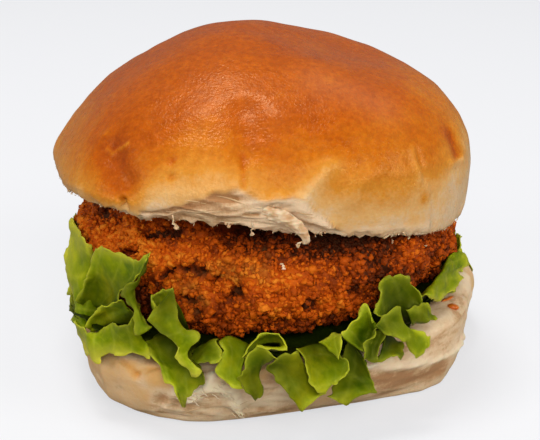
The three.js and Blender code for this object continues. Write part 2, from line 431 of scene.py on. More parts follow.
BROWN_RIGHT = [
    (20, -45, 10.5), (26.5, -42, 9.6), (32, -39, 7.5), (37, -35.5, 6.0), (41.5, -32, 5.5), (46, -27, 4.8),
]
HIGHLIT_BAND = [
    (22, -44.5, 14.6), (26, -43, 13.8), (31.5, -40, 12.2), (38, -35.5, 10.8), (44, -30, 9.6),
    (49, -22.5, 8.6), (52, -15, 8),
]

lower_bun = dense_copy("bun_bottom", "lower_bun", BREAD_SPACING, 8)
p = points_of(lower_bun)
outward = normals_of(lower_bun)
around, height = bearing(p), p[:, 2]
whole_side = rise(np.hypot(p[:, 0], p[:, 1]), 38, 44) * rise(height, -0.5, 2)
side = whole_side * (1 - rise(height, 15.5, 18))

# How far the skin is torn away, from 0 to 1, and how the strands of crumb run there.
torn_front = near_line(p, outward, [(-20, -49, 6), (-13, -50, 8), (-5, -49, 8), (8, -47, 7)], 7)
torn_right = near_line(
    p, outward, [(24, -43, 9), (33, -38, 9), (42, -31, 9), (48, -25, 12), (52, -8, 13)], 7.5
)
torn_back = rise(lumps(p, 22, 5), 0.15, 0.7) * rise(np.abs(around + 90), 75, 100)
torn = np.maximum.reduce([1.3 * torn_front, 1.2 * torn_right, torn_back])
strands = 0.6 * fibres(p, 16, 2.2, 7, 2) + 0.7 * (0.45 - np.abs(fibres(p, 11, 1.4, 9, 1)))
frayed_end = (0.5 * strands + 0.25 * fibres(p, 7, 0.9, 17, 2)) * rise(np.abs(around + 90), 80, 95)
torn_skin = np.clip(torn + 0.3 * lumps(p, 6, 6, 2) + frayed_end * rise(torn, 0, 0.3), 0, 1) * whole_side
torn = torn_skin * side

# How far each point moves outwards, in millimetres.
creased = near_line(p, outward, CREASE, 0.9) + 0.7 * near_line(p, outward, SHORT_CREASE, 0.8)
ridge = near_line(p, outward, PALE_RIDGE, 1.2)
tuft = np.maximum(near_line(p, outward, TUFT, 1.5), 0.8 * near_line(p, outward, TUFT_ROOT, 1.2))
strands *= 1 - 0.6 * rise(p[:, 0], 12, 26)
band = near_line(p, outward, HIGHLIT_BAND, 1.1)
soft = 0.6 * lumps(p, 20, 8) + 0.25 * lumps(p, 8, 9)
fray = 0.5 * fibres(p, 3, 1.2, 14, 2)
swell = side * (
    soft - 0.9 * creased + 0.7 * ridge + tuft * (1.8 + 1.6 * fray) + band * (0.7 + fray)
    + torn * (0.6 * strands - 0.7)
)
swell += (1 - side) * rise(height, 14, 17) * (0.25 * lumps(p, 5, 10, 2))
swell += 3.0 * near_bearing(around, 12, 16) * rise(height, 7, 15)
swell -= 1.2 * near_bearing(around, -143, 16) * rise(height, 3, 7) * (1 - rise(height, 14, 17))
move_to(lower_bun, p + outward * swell[:, None])

# What the material reads: how torn, how pale, how white and drawn out, and how baked a point is.
# Light and shade are painted into the paleness, the whiteness and the bake.
cut_face = rise(outward[:, 2], 0.75, 0.95) * rise(height, 14, 17)
paint(lower_bun, "torn", np.maximum(rise(torn_skin, 0.2, 0.6), cut_face))
# The crumb is painted paler on its raised strands, as light, and paler along the band at the right, as a
# highlight.
depth = 0.56 + 0.1 * strands * (1 - cut_face) + 0.02 * cut_face + 0.4 * tuft + 0.2 * ridge
depth += 0.18 * near_line(p, outward, LIGHT_FRONT, 3) + 0.25 * band + 0.08 * rise(p[:, 0], 40, 48)
depth -= 0.3 * near_line(p, outward, BROWN_RIGHT, 3.0) + 0.12 * near_line(p, outward, BROWN_FRONT, 2.6)
paint(lower_bun, "depth", depth + 0.1 * lumps(p, 9, 13, 2) + 0.06 * lumps(p, 1.8, 15, 2))
# The tuft is whiter crumb, made whiter still as painted light; the band at the right is a painted highlight.
white_and_highlit = tuft * (1.15 + 0.9 * strands) + 0.4 * fray + 0.2 * ridge + 0.6 * band
paint(lower_bun, "tuft", rise(white_and_highlit, 0.25, 0.9))
# The bake, with painted shade that darkens it along the creases.
skin_bake_and_shade = 0.04 + 0.12 * creased + 0.06 * near_line(p, outward, [(-24.8, -46.7, 15.8)], 3)
skin_bake_and_shade += 0.05 * near_line(p, outward, [(-33, -43, 15)], 4) + 0.05 * lumps(p, 12, 11)
skin_bake_and_shade += 0.16 * rise(np.abs(around + 90), 85, 120) * rise(lumps(p, 18, 12), 0.0, 0.8)
paint(lower_bun, "bake_and_shade", np.clip(skin_bake_and_shade, 0, 1))

bread_material, tree, shader = new_material("pale_bread")
skin = use_group(tree, baked_skin, Bake=painted(tree, "bake_and_shade"), Unevenness=0.1)
crumb = use_group(tree, torn_bread, Depth=painted(tree, "depth"))
torn_here = painted(tree, "torn")
colour = mixed(tree, torn_here, skin["Color"], crumb["Color"])
colour = mixed(tree, painted(tree, "tuft"), colour, srgb(255, 240, 212))
relief = mixed(tree, torn_here, skin["Height"], crumb["Height"])
connect(
    tree, shader,
    Base_Color=colour, Roughness=0.8, Specular_IOR_Level=0.25,
    Subsurface_Weight=0.12, Subsurface_Scale=0.002,
    Normal=bump(tree, relief, 0.5, 0.6),
)
dressed(lower_bun, bread_material, "bun_crumb", "bun_bottom")

# ---- Threads on the lower half -------------------------------------------------------------------
# Thin threads of white crumb that were drawn out when the roll was torn from the next one. Their
# roots are still grown into the torn patch at the front, and most curl out of its pale tuft.

OUTSIDE = 90  # mm from the middle, clear of every piece


def mesh_piece(name, points, faces):
    """A new smooth piece from its points, in millimetres, and its faces."""
    mesh = bpy.data.meshes.new(name)
    mesh.from_pydata((points * MM).tolist(), [], faces)
    mesh.shade_smooth()
    return placed(name, mesh, (0, 0, 0))


def thread_mesh(name, paths, widths, tones, flat=0.6, sides=5):
    """One joined mesh of thin threads that taper at both ends, one along each path."""
    paths = np.asarray(paths, float)
    count, steps = paths.shape[:2]
    ahead = np.gradient(paths, axis=1)
    ahead /= np.maximum(np.linalg.norm(ahead, axis=2, keepdims=True), 1e-9)
    across = np.cross(ahead, np.array([0.13, 0.21, 0.97]))
    across /= np.maximum(np.linalg.norm(across, axis=2, keepdims=True), 1e-9)
    over = np.cross(across, ahead)
    share = np.linspace(0, 1, steps)
    taper = np.maximum(np.sin(np.pi * (0.06 + 0.88 * share)), 0.02) ** 0.7
    turn = np.arange(sides) * 2 * np.pi / sides
    ring = across[:, :, None] * np.cos(turn)[:, None] * flat + over[:, :, None] * np.sin(turn)[:, None]
    size = np.asarray(widths)[:, None] / 2 * taper
    points = (paths[:, :, None] + ring * size[..., None, None]).reshape(-1, 3)
    number = np.arange(count * steps * sides).reshape(count, steps, sides)
    here, aside = number[:, :-1], np.roll(number, -1, axis=2)[:, :-1]
    on, on_aside = number[:, 1:], np.roll(number, -1, axis=2)[:, 1:]
    faces = np.stack([here, on, on_aside, aside], axis=-1).reshape(-1, 4).tolist()
    faces += number[:, 0].tolist()
    faces += number[:, -1, ::-1].tolist()
    piece = mesh_piece(name, points, faces)
    paint(piece, "tone_and_light", np.repeat(tones, steps * sides))
    return piece


def surface_of(piece):
    """A search tree of a piece's faces, in millimetres."""
    points = points_of(piece)
    faces = [tuple(face.vertices) for face in piece.data.polygons]
    return BVHTree.FromPolygons(points.tolist(), faces)


def seen_from(surface, angle, height, lift=0.0):
    """The outermost point on the surface at a bearing and height, lifted off along its normal."""
    turn = math.radians(angle)
    outward = Vector((math.cos(turn), math.sin(turn), 0))
    start = outward * OUTSIDE + Vector((0, 0, height))
    spot, normal, _, _ = surface.ray_cast(start, -outward)
    if spot is None:
        return None
    return np.array(spot) + np.array(normal) * lift


def surface_threads(surface, random, count, first, last, low, high, length, slope, lift):
    """Paths of torn threads that lie along the surface between two bearings and two heights."""
    paths = []
    for _ in range(count * 3):
        middle = random.uniform(first, last)
        share = random.uniform(0, 1)
        bottom, top = low(middle), high(middle)
        if top - bottom < 0.5:
            continue
        level = bottom + (top - bottom) * share
        half = length * random.uniform(0.4, 1.0) / 2
        swing = math.degrees(half / 50)
        climb = half * slope + random.normal() * 0.5
        bow = random.normal() * 0.4
        path = []
        for step in np.linspace(-1, 1, 7):
            raised = lift * random.uniform(0.4, 1.0) * (1.15 - step * step)
            up = level + climb * step + bow * (1 - step * step)
            path.append(seen_from(surface, middle + swing * step, up, raised))
        if any(place is None for place in path):
            continue
        paths.append(path)
        if len(paths) == count:
            break
    return np.array(paths)


thread_material, tree, shader = new_material("crumb_threads")
tone_and_light = painted(tree, "tone_and_light")
colour = ramp(
    tree, tone_and_light, (0.0, srgb(176, 128, 84)), (0.5, srgb(212, 174, 134)), (1.0, srgb(250, 234, 208)),
)
connect(
    tree, shader,
    Base_Color=colour, Roughness=0.85, Specular_IOR_Level=0.2,
    Subsurface_Weight=0.15, Subsurface_Scale=0.001,
    Normal=bump(tree, grain(tree, 1500, 3), 0.15, 0.5),
)
thread_random = np.random.default_rng(12)
lower_surface = surface_of(lower_bun)
LYING, CURLING = 5, 46
paths = [
    surface_threads(
        lower_surface, thread_random, LYING, -113, -84, lambda a: 2.5, lambda a: 9.5, 8, 0.12, 0.05
    )
]
for _ in range(CURLING):
    start = TUFT[thread_random.integers(1, 8)] + thread_random.normal(size=3) * (0.7, 0.1, 0.7)
    aim = np.array([1.0, -0.2, -0.2 - thread_random.random()]) * thread_random.uniform(0.6, 1.6)
    wisp = start + np.linspace(0, 1, 7)[:, None] * aim + (0, -0.9, 0)
    paths.append(wisp[None] + thread_random.normal(size=(1, 7, 3)) * 0.1)
paths = np.concatenate(paths)
widths = thread_random.uniform(0.15, 0.4, len(paths))
tones = np.append(thread_random.uniform(0.5, 0.7, LYING), thread_random.uniform(0.85, 1.0, CURLING))
lower_threads = thread_mesh("lower_threads", paths, widths, tones)
dressed(lower_threads, thread_material, "bun_crumb")

# ---- Sauce marks ---------------------------------------------------------------------------------
# A thin smear and a flat drop of orange sauce that fell on the cut face of the lower half, at the
# right where the leaf leaves the bread bare. They lie on the crumb and are hardly raised.

sauce_material, tree, shader = new_material("sauce")
clouded = grain(tree, 900, 3)
connect(
    tree, shader,
    Base_Color=ramp(tree, clouded, (0.35, srgb(196, 92, 20)), (0.65, srgb(228, 128, 40))),
    Roughness=0.3, Specular_IOR_Level=0.4, Normal=bump(tree, clouded, 0.15, 0.5),
)
SMEAR = [(45.4, -18.1), (46.3, -17.1), (47.2, -16.2), (48.1, -15.3), (48.9, -14.3)]
DROP = [(46.9, -20.8), (47.5, -20.3), (48.1, -19.9), (48.7, -19.5), (49.3, -19.1)]
marks = []
for line in (SMEAR, DROP):
    marks.append([lower_surface.ray_cast(Vector((x, y, OUTSIDE)), Vector((0, 0, -1)))[0] for x, y in line])
marks = np.array(marks) + (0, 0, 0.12)  # just proud of the bread
sauce_marks = thread_mesh("sauce_marks", marks, [0.6, 1.6], [0.4, 0.7], 2.1, 10)
dressed(sauce_marks, sauce_material, "bun_crumb")

# ---- Patty ---------------------------------------------------------------------------------------
# A thick deep-fried patty of chopped mussels. A coat of orange-brown breading hides the filling,
# lumpy from the batter under it, with pits and cracks where the coat came away in the oil. Light
# and shade are painted into the coat's colour, and the pits and cracks are painted dark as shade.

# Pits, each with its size. They are sunk in and painted dark, as shade.
PIT_PLACES = (
    ((-18.5, -42.8, 38.5), 1.65), ((-16.0, -43.6, 39.4), 1.65), ((-13.7, -44.3, 38.6), 1.35),
    ((-22.7, -41.1, 36.6), 1.15), ((-10.9, -45.4, 37.1), 1.15), ((-6.3, -47.0, 34.8), 1.45),
    ((-17.9, -43.0, 30.8), 1.35), ((-14.7, -43.8, 28.9), 0.85), ((36.3, -32.2, 32.9), 1.05),
    ((44.3, -21.4, 33.8), 1.15), ((-21.5, -42.2, 37.6), 1.05),
)
SLIT = [(-34.5, -31.9, 38.6), (-30.4, -34.5, 40.3)]
SHADED_GAP = [(-28.0, -33.1, 44.6), (-24.6, -34.0, 45.2), (-20.5, -36.2, 45.2)]
SHADED_CORNER = [(-31, -32, 33), (-29, -34.5, 30), (-26, -37, 27.5)]
LIT_RIDGE = [(-30, -36, 38), (-18, -42, 40), (-5, -46, 38), (8, -47, 36), (20, -43, 36)]
FILLING = [(-16, -44, 34), (-9, -46, 37), (-2, -47, 38)]
PATTY_SPACING = 0.8

patty = dense_copy("patty", "breaded_patty", PATTY_SPACING, 6)
p = points_of(patty)
patty_normals = normals_of(patty)

# The coat stands out in clumps, and the pits and cracks are sunk into it.
pits = rise(lumps(p, 5, 23, 2), 0.85, 1.2) * rise(np.abs(bearing(p) + 90), 60, 90)
ragged = p + 0.9 * np.stack([lumps(p, 2.2, seed, 2) for seed in (91, 92, 93)], axis=1)
for place, size in PIT_PLACES:
    pits = np.maximum(pits, near_line(ragged, patty_normals, [place], size))
pits = np.maximum(pits, near_line(p, patty_normals, SLIT, 0.8))
pits = np.maximum(pits, near_line(p, patty_normals, SHADED_GAP, 1.6))
cracks = rise(lumps(p, 4.2, 28, 2), 0.62, 1.0) * rise(37 - p[:, 2], 0, 6)
clumps = 1.2 * lumps(p, 12, 21, 2) + 1.1 * lumps(p, 4.5, 22, 2) + 0.35 * lumps(p, 1.8, 24) - 1.2 * cracks
clumps += 1.3 * near(p[:, 2], 25.5, 3.5) * rise(-p[:, 1], 15, 30)
clumps += 1.5 * near_bearing(bearing(p), -8, 20) * near(p[:, 2], 42, 6)
surface = p + patty_normals * (clumps - 2.8 * pits - 0.5)[:, None]
move_to(patty, surface)


def lit_and_shaded(places, normals):
    """The coat's tone, with light and shade painted in: lightest along the bulging middle, darkest where it
    is hidden.
    """
    level = 0.58 + 0.13 * lumps(places, 8, 25, 2) + 0.25 * near_line(places, normals, LIT_RIDGE, 9)
    level -= 0.3 * rise(32 - places[:, 2], 0, 7) + 0.34 * rise(places[:, 2], 40, 45)
    level += 0.12 * lumps(places, 3, 29) + 0.06 * rise(-places[:, 0], 5, 18)
    level -= 0.07 * rise(places[:, 0], 32, 42)
    level -= 0.5 * near_line(places, normals, SHADED_CORNER, 4)
    level += 0.25 * near_bearing(bearing(places), -135, 11) * rise(places[:, 2], 37, 43)
    right_of_front = near(places[:, 0], 20, 13) * rise(-places[:, 1], 10, 30)
    return level - 0.55 * right_of_front * rise(places[:, 2], 28, 38)


# The coat's colour, painted darker in the pits and cracks, as shade.
pit_shade = np.maximum(pits, 0.6 * cracks)
paint(patty, "tone_and_light", np.clip(lit_and_shaded(p, patty_normals) - 0.22 - 0.9 * pit_shade, 0, 1))
filling_shows = 0.6 * near_line(p, patty_normals, FILLING, 4.5) * rise(lumps(p, 5, 27, 2), -0.2, 0.5)
filling_shows *= 1 - pit_shade
paint(patty, "filling", filling_shows)

crumb_material, tree, shader = new_material("fried_crumb")
speckle = grain(tree, 1300, 4, 0.65)
shift = reckon(tree, "MULTIPLY_ADD", reckon(tree, "SUBTRACT", speckle, 0.5), 0.5, painted(tree, "tone_and_light"))
colour = ramp(
    tree, shift,
    (0.0, srgb(54, 16, 6)), (0.25, srgb(130, 48, 6)), (0.5, srgb(190, 80, 8)),
    (0.75, srgb(220, 106, 14)), (1.0, srgb(238, 138, 36)),
)
filling = ramp(tree, speckle, (0.35, srgb(92, 62, 20)), (0.6, srgb(150, 104, 40)))
colour = mixed(tree, painted(tree, "filling"), colour, filling)
connect(
    tree, shader,
    Base_Color=colour, Roughness=0.5, Specular_IOR_Level=0.3, Specular_Tint=srgb(255, 214, 160),
    Normal=bump(tree, speckle, 0.5, 0.8),
)
dressed(patty, crumb_material, "breading", "patty")

# ---- Loose grains of breading --------------------------------------------------------------------
# Coarse dry breadcrumbs that stuck to the batter as separate grains, fried hard and sharp. Finer
# ones fill in between the coarse ones, and few cling in the pits.

GRAIN_CORNERS = 12


def grain_shape():
    """The 12 corners and 20 faces of one rough crumb, before it is knocked out of shape."""
    golden = (1 + 5**0.5) / 2
    corners = [(0, s, t * golden) for s in (-1, 1) for t in (-1, 1)]
    corners += [(s, t * golden, 0) for s in (-1, 1) for t in (-1, 1)]
    corners += [(t * golden, 0, s) for s in (-1, 1) for t in (-1, 1)]
    corners = np.array(corners) / np.hypot(1, golden)
    faces = []
    gap = np.linalg.norm(corners[:, None] - corners[None], axis=2)
    edge = gap[gap > 0.1].min() * 1.01
    for a, b, c in itertools.combinations(range(GRAIN_CORNERS), 3):
        if max(gap[a, b], gap[b, c], gap[a, c]) < edge:
            normal = np.cross(corners[b] - corners[a], corners[c] - corners[a])
            faces.append((a, b, c) if normal @ corners[a] > 0 else (a, c, b))
    return corners, np.array(faces)


def scatter(name, centres, sizes, tones, random):
    """One joined mesh of rough crumbs, each turned and knocked out of shape by chance."""
    corners, faces = grain_shape()
    count = len(centres)
    turn = np.linalg.qr(random.normal(size=(count, 3, 3)))[0]
    knocked = corners[None] * (1 + random.uniform(-0.5, 0.5, (count, GRAIN_CORNERS, 1)))
    knocked = knocked * random.uniform(0.5, 1.4, (count, 1, 3))
    points = np.einsum("nij,nkj->nki", turn, knocked) * sizes[:, None, None] + centres[:, None]
    every_face = faces[None] + GRAIN_CORNERS * np.arange(count)[:, None, None]
    turned_over = np.linalg.det(turn) < 0
    every_face[turned_over] = every_face[turned_over][:, :, ::-1]
    piece = mesh_piece(name, points.reshape(-1, 3), every_face.reshape(-1, 3).tolist())
    paint(piece, "tone_and_light", np.repeat(tones, GRAIN_CORNERS))
    return piece


reach = np.hypot(surface[:, 0], surface[:, 1])
# Each kind has a number of grains, its sizes, and how far down a pit it still clings.
for name, count, small, large, deepest in (
    ("fine_crumbs", 9400, 0.35, 0.7, 0.3), ("coarse_crumbs", 9000, 0.48, 0.98, 0.16),
):
    random = np.random.default_rng(count)
    chance = (reach > 36) * (1.0 + rise(-surface[:, 1], 0, 30))
    chosen = random.choice(len(surface), count, p=chance / chance.sum())
    sizes = small + (large - small) * random.random(count) ** 2.2
    out_by = sizes * random.uniform(-0.5, 0.75, count) - 0.15
    centres = surface[chosen] + patty_normals[chosen] * out_by[:, None]
    # Each grain takes the painted light and shade of the coat under it.
    tones = lit_and_shaded(surface[chosen], patty_normals[chosen]) + 0.14 * random.normal(size=count)
    tones -= 0.9 * pit_shade[chosen]
    keep = pits[chosen] < deepest * random.uniform(1, 3, count)
    crumbs = scatter(name, centres[keep], sizes[keep], np.clip(tones[keep], 0, 1), random)
    covered = filling_shows[chosen][keep] * random.uniform(0, 1.3, keep.sum())
    paint(crumbs, "filling", np.repeat(np.clip(covered, 0, 1), GRAIN_CORNERS))
    dressed(crumbs, crumb_material, "breading")

# ---- White crumbs --------------------------------------------------------------------------------
# A few soft crumbs of white bread that fell from the torn lip above when the burger was put
# together. They lie loose on the breading of the patty, in the middle and at the right.

random = np.random.default_rng(77)
patty_surface = surface_of(patty)
FALLEN = ((-84.6, 40.4), (-84.0, 39.9), (-85.2, 40.8), (-48.2, 41.6), (-36.8, 38.6))
fallen = np.array([seen_from(patty_surface, angle, height, 0.9) for angle, height in FALLEN])
fallen_sizes = np.array([0.6, 0.45, 0.35, 0.5, 0.35])
fallen_tones = np.array([0.8, 0.9, 0.7, 0.6, 0.9])
white_crumbs = scatter("white_crumbs", fallen, fallen_sizes, fallen_tones, random)
dressed(white_crumbs, thread_material, "bun_crumb")

# ---- Lettuce -------------------------------------------------------------------------------------
# Two soft curly leaves laid over each other on the lower half, under the patty. Their frilled
# margins stand up against it, fold back on themselves and hang down over the edge of the bread.
# They are bent to fit between the two, so they are made after both.

LEAF_THICKNESS = 0.36
FOLD_STEP, MARGIN_STEP = 0.62, 0.8  # mm between points in a fold and along a leaf's margin
HELD_AT = (20.4, 45.5)  # height and reach where a fold goes in under the patty
SHEET_GAP, FOLD_GAP, GRAIN_ROOM = 0.45, 0.9, 1.3  # mm clear of the bread, the patty and its grains
ROOT_REACH = 22  # how far from the middle the flat sheets start


def through(corners, count, closed=False):
    """Evenly shared places on a smooth curve through the corners, which may be whole rows."""
    if closed:
        before, after, beyond = np.roll(corners, 1, 0), np.roll(corners, -1, 0), np.roll(corners, -2, 0)
        here = corners
    else:
        before_first, after_last = 2 * corners[:1] - corners[1:2], 2 * corners[-1:] - corners[-2:-1]
        longer = np.concatenate([before_first, corners, after_last])
        before, here, after, beyond = longer[:-3], longer[1:-2], longer[2:-1], longer[3:]
    t = np.linspace(0, 1, 12, endpoint=False).reshape((1, 12) + (1,) * (corners.ndim - 1))
    a, b, c, d = (side[:, None] for side in (before, here, after, beyond))
    curve = b + 0.5 * t * (c - a + t * (2 * a - 5 * b + 4 * c - d + t * (3 * (b - c) + d - a)))
    curve = curve.reshape((-1,) + corners.shape[1:])
    curve = np.concatenate([curve, corners[:1] if closed else corners[-1:]])
    gaps = np.linalg.norm(np.diff(curve[..., :3], axis=0), axis=-1)
    along = np.concatenate([[0], np.cumsum(gaps.reshape(len(gaps), -1).mean(axis=1))])
    wanted = np.linspace(0, along[-1], count, endpoint=not closed)
    flat = curve.reshape(len(curve), -1)
    spread = np.stack([np.interp(wanted, along, column) for column in flat.T], axis=1)
    return spread.reshape((count,) + corners.shape[1:])


def standing(places):
    """Points in millimetres from (bearing, height, reach) places round the burger."""
    angle, height, reach_out = np.moveaxis(np.array(places, float), -1, 0)
    turn = np.radians(angle)
    return np.stack([reach_out * np.cos(turn), reach_out * np.sin(turn), height], axis=-1)


def sheet_normals(sheet):
    """The direction that a sheet of points faces at each one."""
    normal = np.cross(np.gradient(sheet, axis=0), np.gradient(sheet, axis=1))
    return normal / np.maximum(np.linalg.norm(normal, axis=2, keepdims=True), 1e-9)


def kept_clear(sheet, solids, gap):
    """Moves any point that is in or too near one of the solids out to the gap from its surface.

    At the sides and the back the gap is wider beside the patty, for the grains that stand off it.
    """
    flat = sheet.reshape(-1, 3)
    gaps = gap + GRAIN_ROOM * rise(np.abs(bearing(flat) + 90), 70, 85) * rise(flat[:, 2], 22, 25)
    for tree in solids:
        for index, point in enumerate(flat):
            spot, normal, _, _ = tree.find_nearest(Vector(point), 6)
            if spot is None:
                continue
            if (Vector(point) - spot).dot(normal) < gaps[index]:
                flat[index] = spot + normal * gaps[index]
    return flat.reshape(sheet.shape)


def fold(free, light_and_shade, *rows):
    """A curled part of a leaf through rows of places, how near a free edge it is and its painted shade.

    The letters tell which edges are free: f and l the first and last rows, s and e their ends.
    A first or last row that is not free runs on down to where the leaf is held under the patty.
    The four numbers give the painted light and shade at both ends of the first and the last row,
    from -1 for a painted yellowish light to 1 for the darkest painted shade.
    """
    rows = list(rows)
    if "l" not in free:
        rows.append([(angle, *HELD_AT) for angle, _, _ in rows[-1]])
    if "f" not in free:
        rows.insert(0, [(angle, *HELD_AT) for angle, _, _ in rows[0]])
    corners = standing(rows)
    lengths = np.linalg.norm(np.diff(corners, axis=1), axis=2).sum(axis=1)
    widths = np.linalg.norm(np.diff(corners, axis=0), axis=2).sum(axis=0)
    columns, deep = int(lengths.max() / FOLD_STEP) + 2, int(widths.max() / FOLD_STEP) + 2
    sheet = through(corners, deep)
    sheet = np.swapaxes(through(np.swapaxes(sheet, 0, 1), columns), 0, 1)
    down = np.linspace(0, 1, deep)[:, None] * widths.mean()
    over = np.linspace(0, 1, columns)[None] * lengths.mean()
    gaps = {"f": down, "l": widths.mean() - down, "s": over, "e": lengths.mean() - over}
    nearest = np.full((deep, columns), 99.0)
    for letter in free:
        nearest = np.minimum(nearest, np.broadcast_to(gaps[letter], nearest.shape))
    t, u = np.linspace(0, 1, deep)[:, None], np.linspace(0, 1, columns)[None]
    first = light_and_shade[0] + (light_and_shade[1] - light_and_shade[0]) * u
    last = light_and_shade[2] + (light_and_shade[3] - light_and_shade[2]) * u
    return sheet, np.exp(-nearest / 0.6), first + (last - first) * t


def frilled(sheet, edge, seed):
    """Roughens a fold: slow waves over it, and fine teeth along its free edges."""
    flat = sheet.reshape(-1, 3)
    waves = (0.6 * lumps(flat, 7, seed) + 0.3 * lumps(flat, 3, seed + 1)).reshape(edge.shape)
    teeth = np.stack([lumps(flat, 2.2, seed + 2 + axis, 2) for axis in range(3)], axis=1)
    teeth = 0.6 * teeth.reshape(sheet.shape) * edge[..., None]
    return sheet + sheet_normals(sheet) * waves[..., None] + teeth


def thickened(sheet, thick, closed):
    """Points and faces of a sheet given its thickness, thinner towards a free edge."""
    rows, columns = sheet.shape[:2]
    normal = sheet_normals(sheet)
    if closed:
        turned = sheet_normals(np.roll(sheet, columns // 2, 1))
        at_join = np.roll(turned, -(columns // 2), 1)
        normal[:, :2] = at_join[:, :2]
        normal[:, -2:] = at_join[:, -2:]
    half = normal * (thick / 2)[..., None]
    both = np.concatenate([(sheet + half).reshape(-1, 3), (sheet - half).reshape(-1, 3)])
    number = np.arange(rows * columns).reshape(rows, columns)
    if closed:
        number = np.concatenate([number, number[:, :1]], axis=1)
    round_face = [number[:-1, :-1], number[1:, :-1], number[1:, 1:], number[:-1, 1:]]
    top = np.stack(round_face, axis=-1).reshape(-1, 4)
    under = top[:, ::-1] + rows * columns
    walls = []
    sides = [(number[0], 1), (number[-1], -1)]
    if not closed:
        sides += [(number[:, 0], -1), (number[:, -1], 1)]
    for line, flip in sides:
        a, b = line[:-1], line[1:]
        walls.append(np.stack([a, b, b + rows * columns, a + rows * columns], axis=-1)[:, ::flip])
    return both, np.vstack([top, under, *walls])


def hidden_folds(first, last, spacing, low, high, near_reach, random):
    """Frills for the back of a leaf: the margin swings up and down and folds back on itself."""
    folds = []
    angle = first
    while angle < last - spacing * 0.6:
        up = random.uniform(0.55, 1)
        folds.append((angle, low + (high - low) * up, near_reach + random.uniform(0, 2.5)))
        folds.append((angle + 0.42 * spacing, low + 0.35 * (high - low) * up, near_reach + 5))
        folds.append((angle + 0.1 * spacing, low + random.uniform(0, 2), near_reach + 6.5))
        folds.append((angle + 0.62 * spacing, low + 0.15 * (high - low), near_reach + 4))
        angle += spacing * random.uniform(0.8, 1.2)
    return folds


def ring_leaf(margin, base, pinch):
    """A thin sheet from under the patty out to a margin that runs all round."""
    corners = standing([(angle, base + up, out) for angle, up, out in margin])
    rough_length = np.linalg.norm(np.diff(corners, axis=0), axis=1).sum()
    edge = through(corners, int(rough_length / MARGIN_STEP), closed=True)
    count = len(edge)
    angle = np.degrees(np.unwrap(np.arctan2(edge[:, 1], edge[:, 0])))
    drift = np.linspace(0, 360, count, endpoint=False)
    aside = 27  # points on each side that the smoothing takes in
    window = np.hanning(2 * aside + 3)[1:-1]

    def smoothed(values):
        wrapped = np.concatenate([values[-aside:], values, values[:aside]])
        return np.convolve(wrapped, window / window.sum(), "valid")

    root_angle = smoothed(np.maximum.accumulate(smoothed(angle - drift) + drift) - drift) + drift
    reach_out = np.hypot(edge[:, 0], edge[:, 1])
    up = edge[:, 2] - base
    tilt = np.radians(np.clip(up * 5, -65, 78))
    last = 0.5 * np.hypot(reach_out - 46, up)
    start = standing(np.stack([root_angle, np.full(count, base), np.full(count, pinch)], axis=1))
    bend_angle = root_angle + 0.4 * (angle - root_angle)
    bend = standing(np.stack([bend_angle, np.full(count, base + 0.4), np.full(count, pinch + 6.0)], axis=1))
    near_angle = angle - 0.2 * (angle - root_angle)
    near_height = np.maximum(edge[:, 2] - last * np.sin(tilt), base)
    near_edge = standing(np.stack([near_angle, near_height, reach_out - last * np.cos(tilt)], axis=1))
    t = np.linspace(0, 1, 26)[:, None, None] ** 0.9
    sheet = (1 - t) ** 3 * start + 3 * t * (1 - t) ** 2 * bend + 3 * t * t * (1 - t) * near_edge + t**3 * edge
    nearest = (1 - np.broadcast_to(t[:, 0], sheet.shape[:2])) * 14
    # The front of the sheet, seen only in the gaps, is painted dark as shade.
    return sheet, np.exp(-nearest / 0.9), rise(-sheet[..., 1], 8, 30)


def veins(sheet):
    """Where the pale veins run in a sheet: up from the root, with finer ones branching off."""
    rows, columns = sheet.shape[:2]
    across = np.linalg.norm(np.diff(sheet, axis=1), axis=2).mean() * np.arange(columns)[None]
    up = np.linalg.norm(np.diff(sheet, axis=0), axis=2).mean() * np.arange(rows)[:, None]
    wander = 0.5 * lumps(sheet.reshape(-1, 3), 4, 90).reshape(rows, columns)
    middle = (across + wander + 0.5) % 6.5 - 3.25
    branch = (up - 0.8 * np.abs(middle) + wander) % 2.6 - 1.3
    return near(middle, 0, 0.35) + 0.5 * near(branch, 0, 0.25)


def leaf_piece(name, parts, thick):
    """One mesh of all the parts of a leaf, each a sheet with its edge values."""
    every_point, every_face, total = [], [], 0
    painted_on = {"edge": [], "deep": [], "vein": []}
    for sheet, edge, light_and_shade, closed in parts:
        reach_out = np.hypot(sheet[..., 0], sheet[..., 1])
        # Painted shade: darker nearer the middle, where the patty hangs over, and away from the free edges,
        # with each part's own painted light and shade.
        deep = 1 - rise(reach_out + 0.35 * np.abs(sheet[..., 2] - 20), 47.5, 53)
        shaded = np.maximum(light_and_shade, 0) + 0.35 - 0.35 * edge**0.2
        deep = np.maximum(deep, shaded) + np.minimum(light_and_shade, 0) * (1 - deep)
        for kind, values in (("edge", edge), ("deep", deep), ("vein", veins(sheet))):
            painted_on[kind].append(np.tile(values.ravel(), 2))
        points, faces = thickened(sheet, thick * (1 - 0.5 * edge), closed)
        every_point.append(points)
        every_face.append(faces + total)
        total += len(points)
    piece = mesh_piece(name, np.concatenate(every_point), np.concatenate(every_face).tolist())
    for kind, values in painted_on.items():
        paint(piece, kind, np.concatenate(values))
    return piece


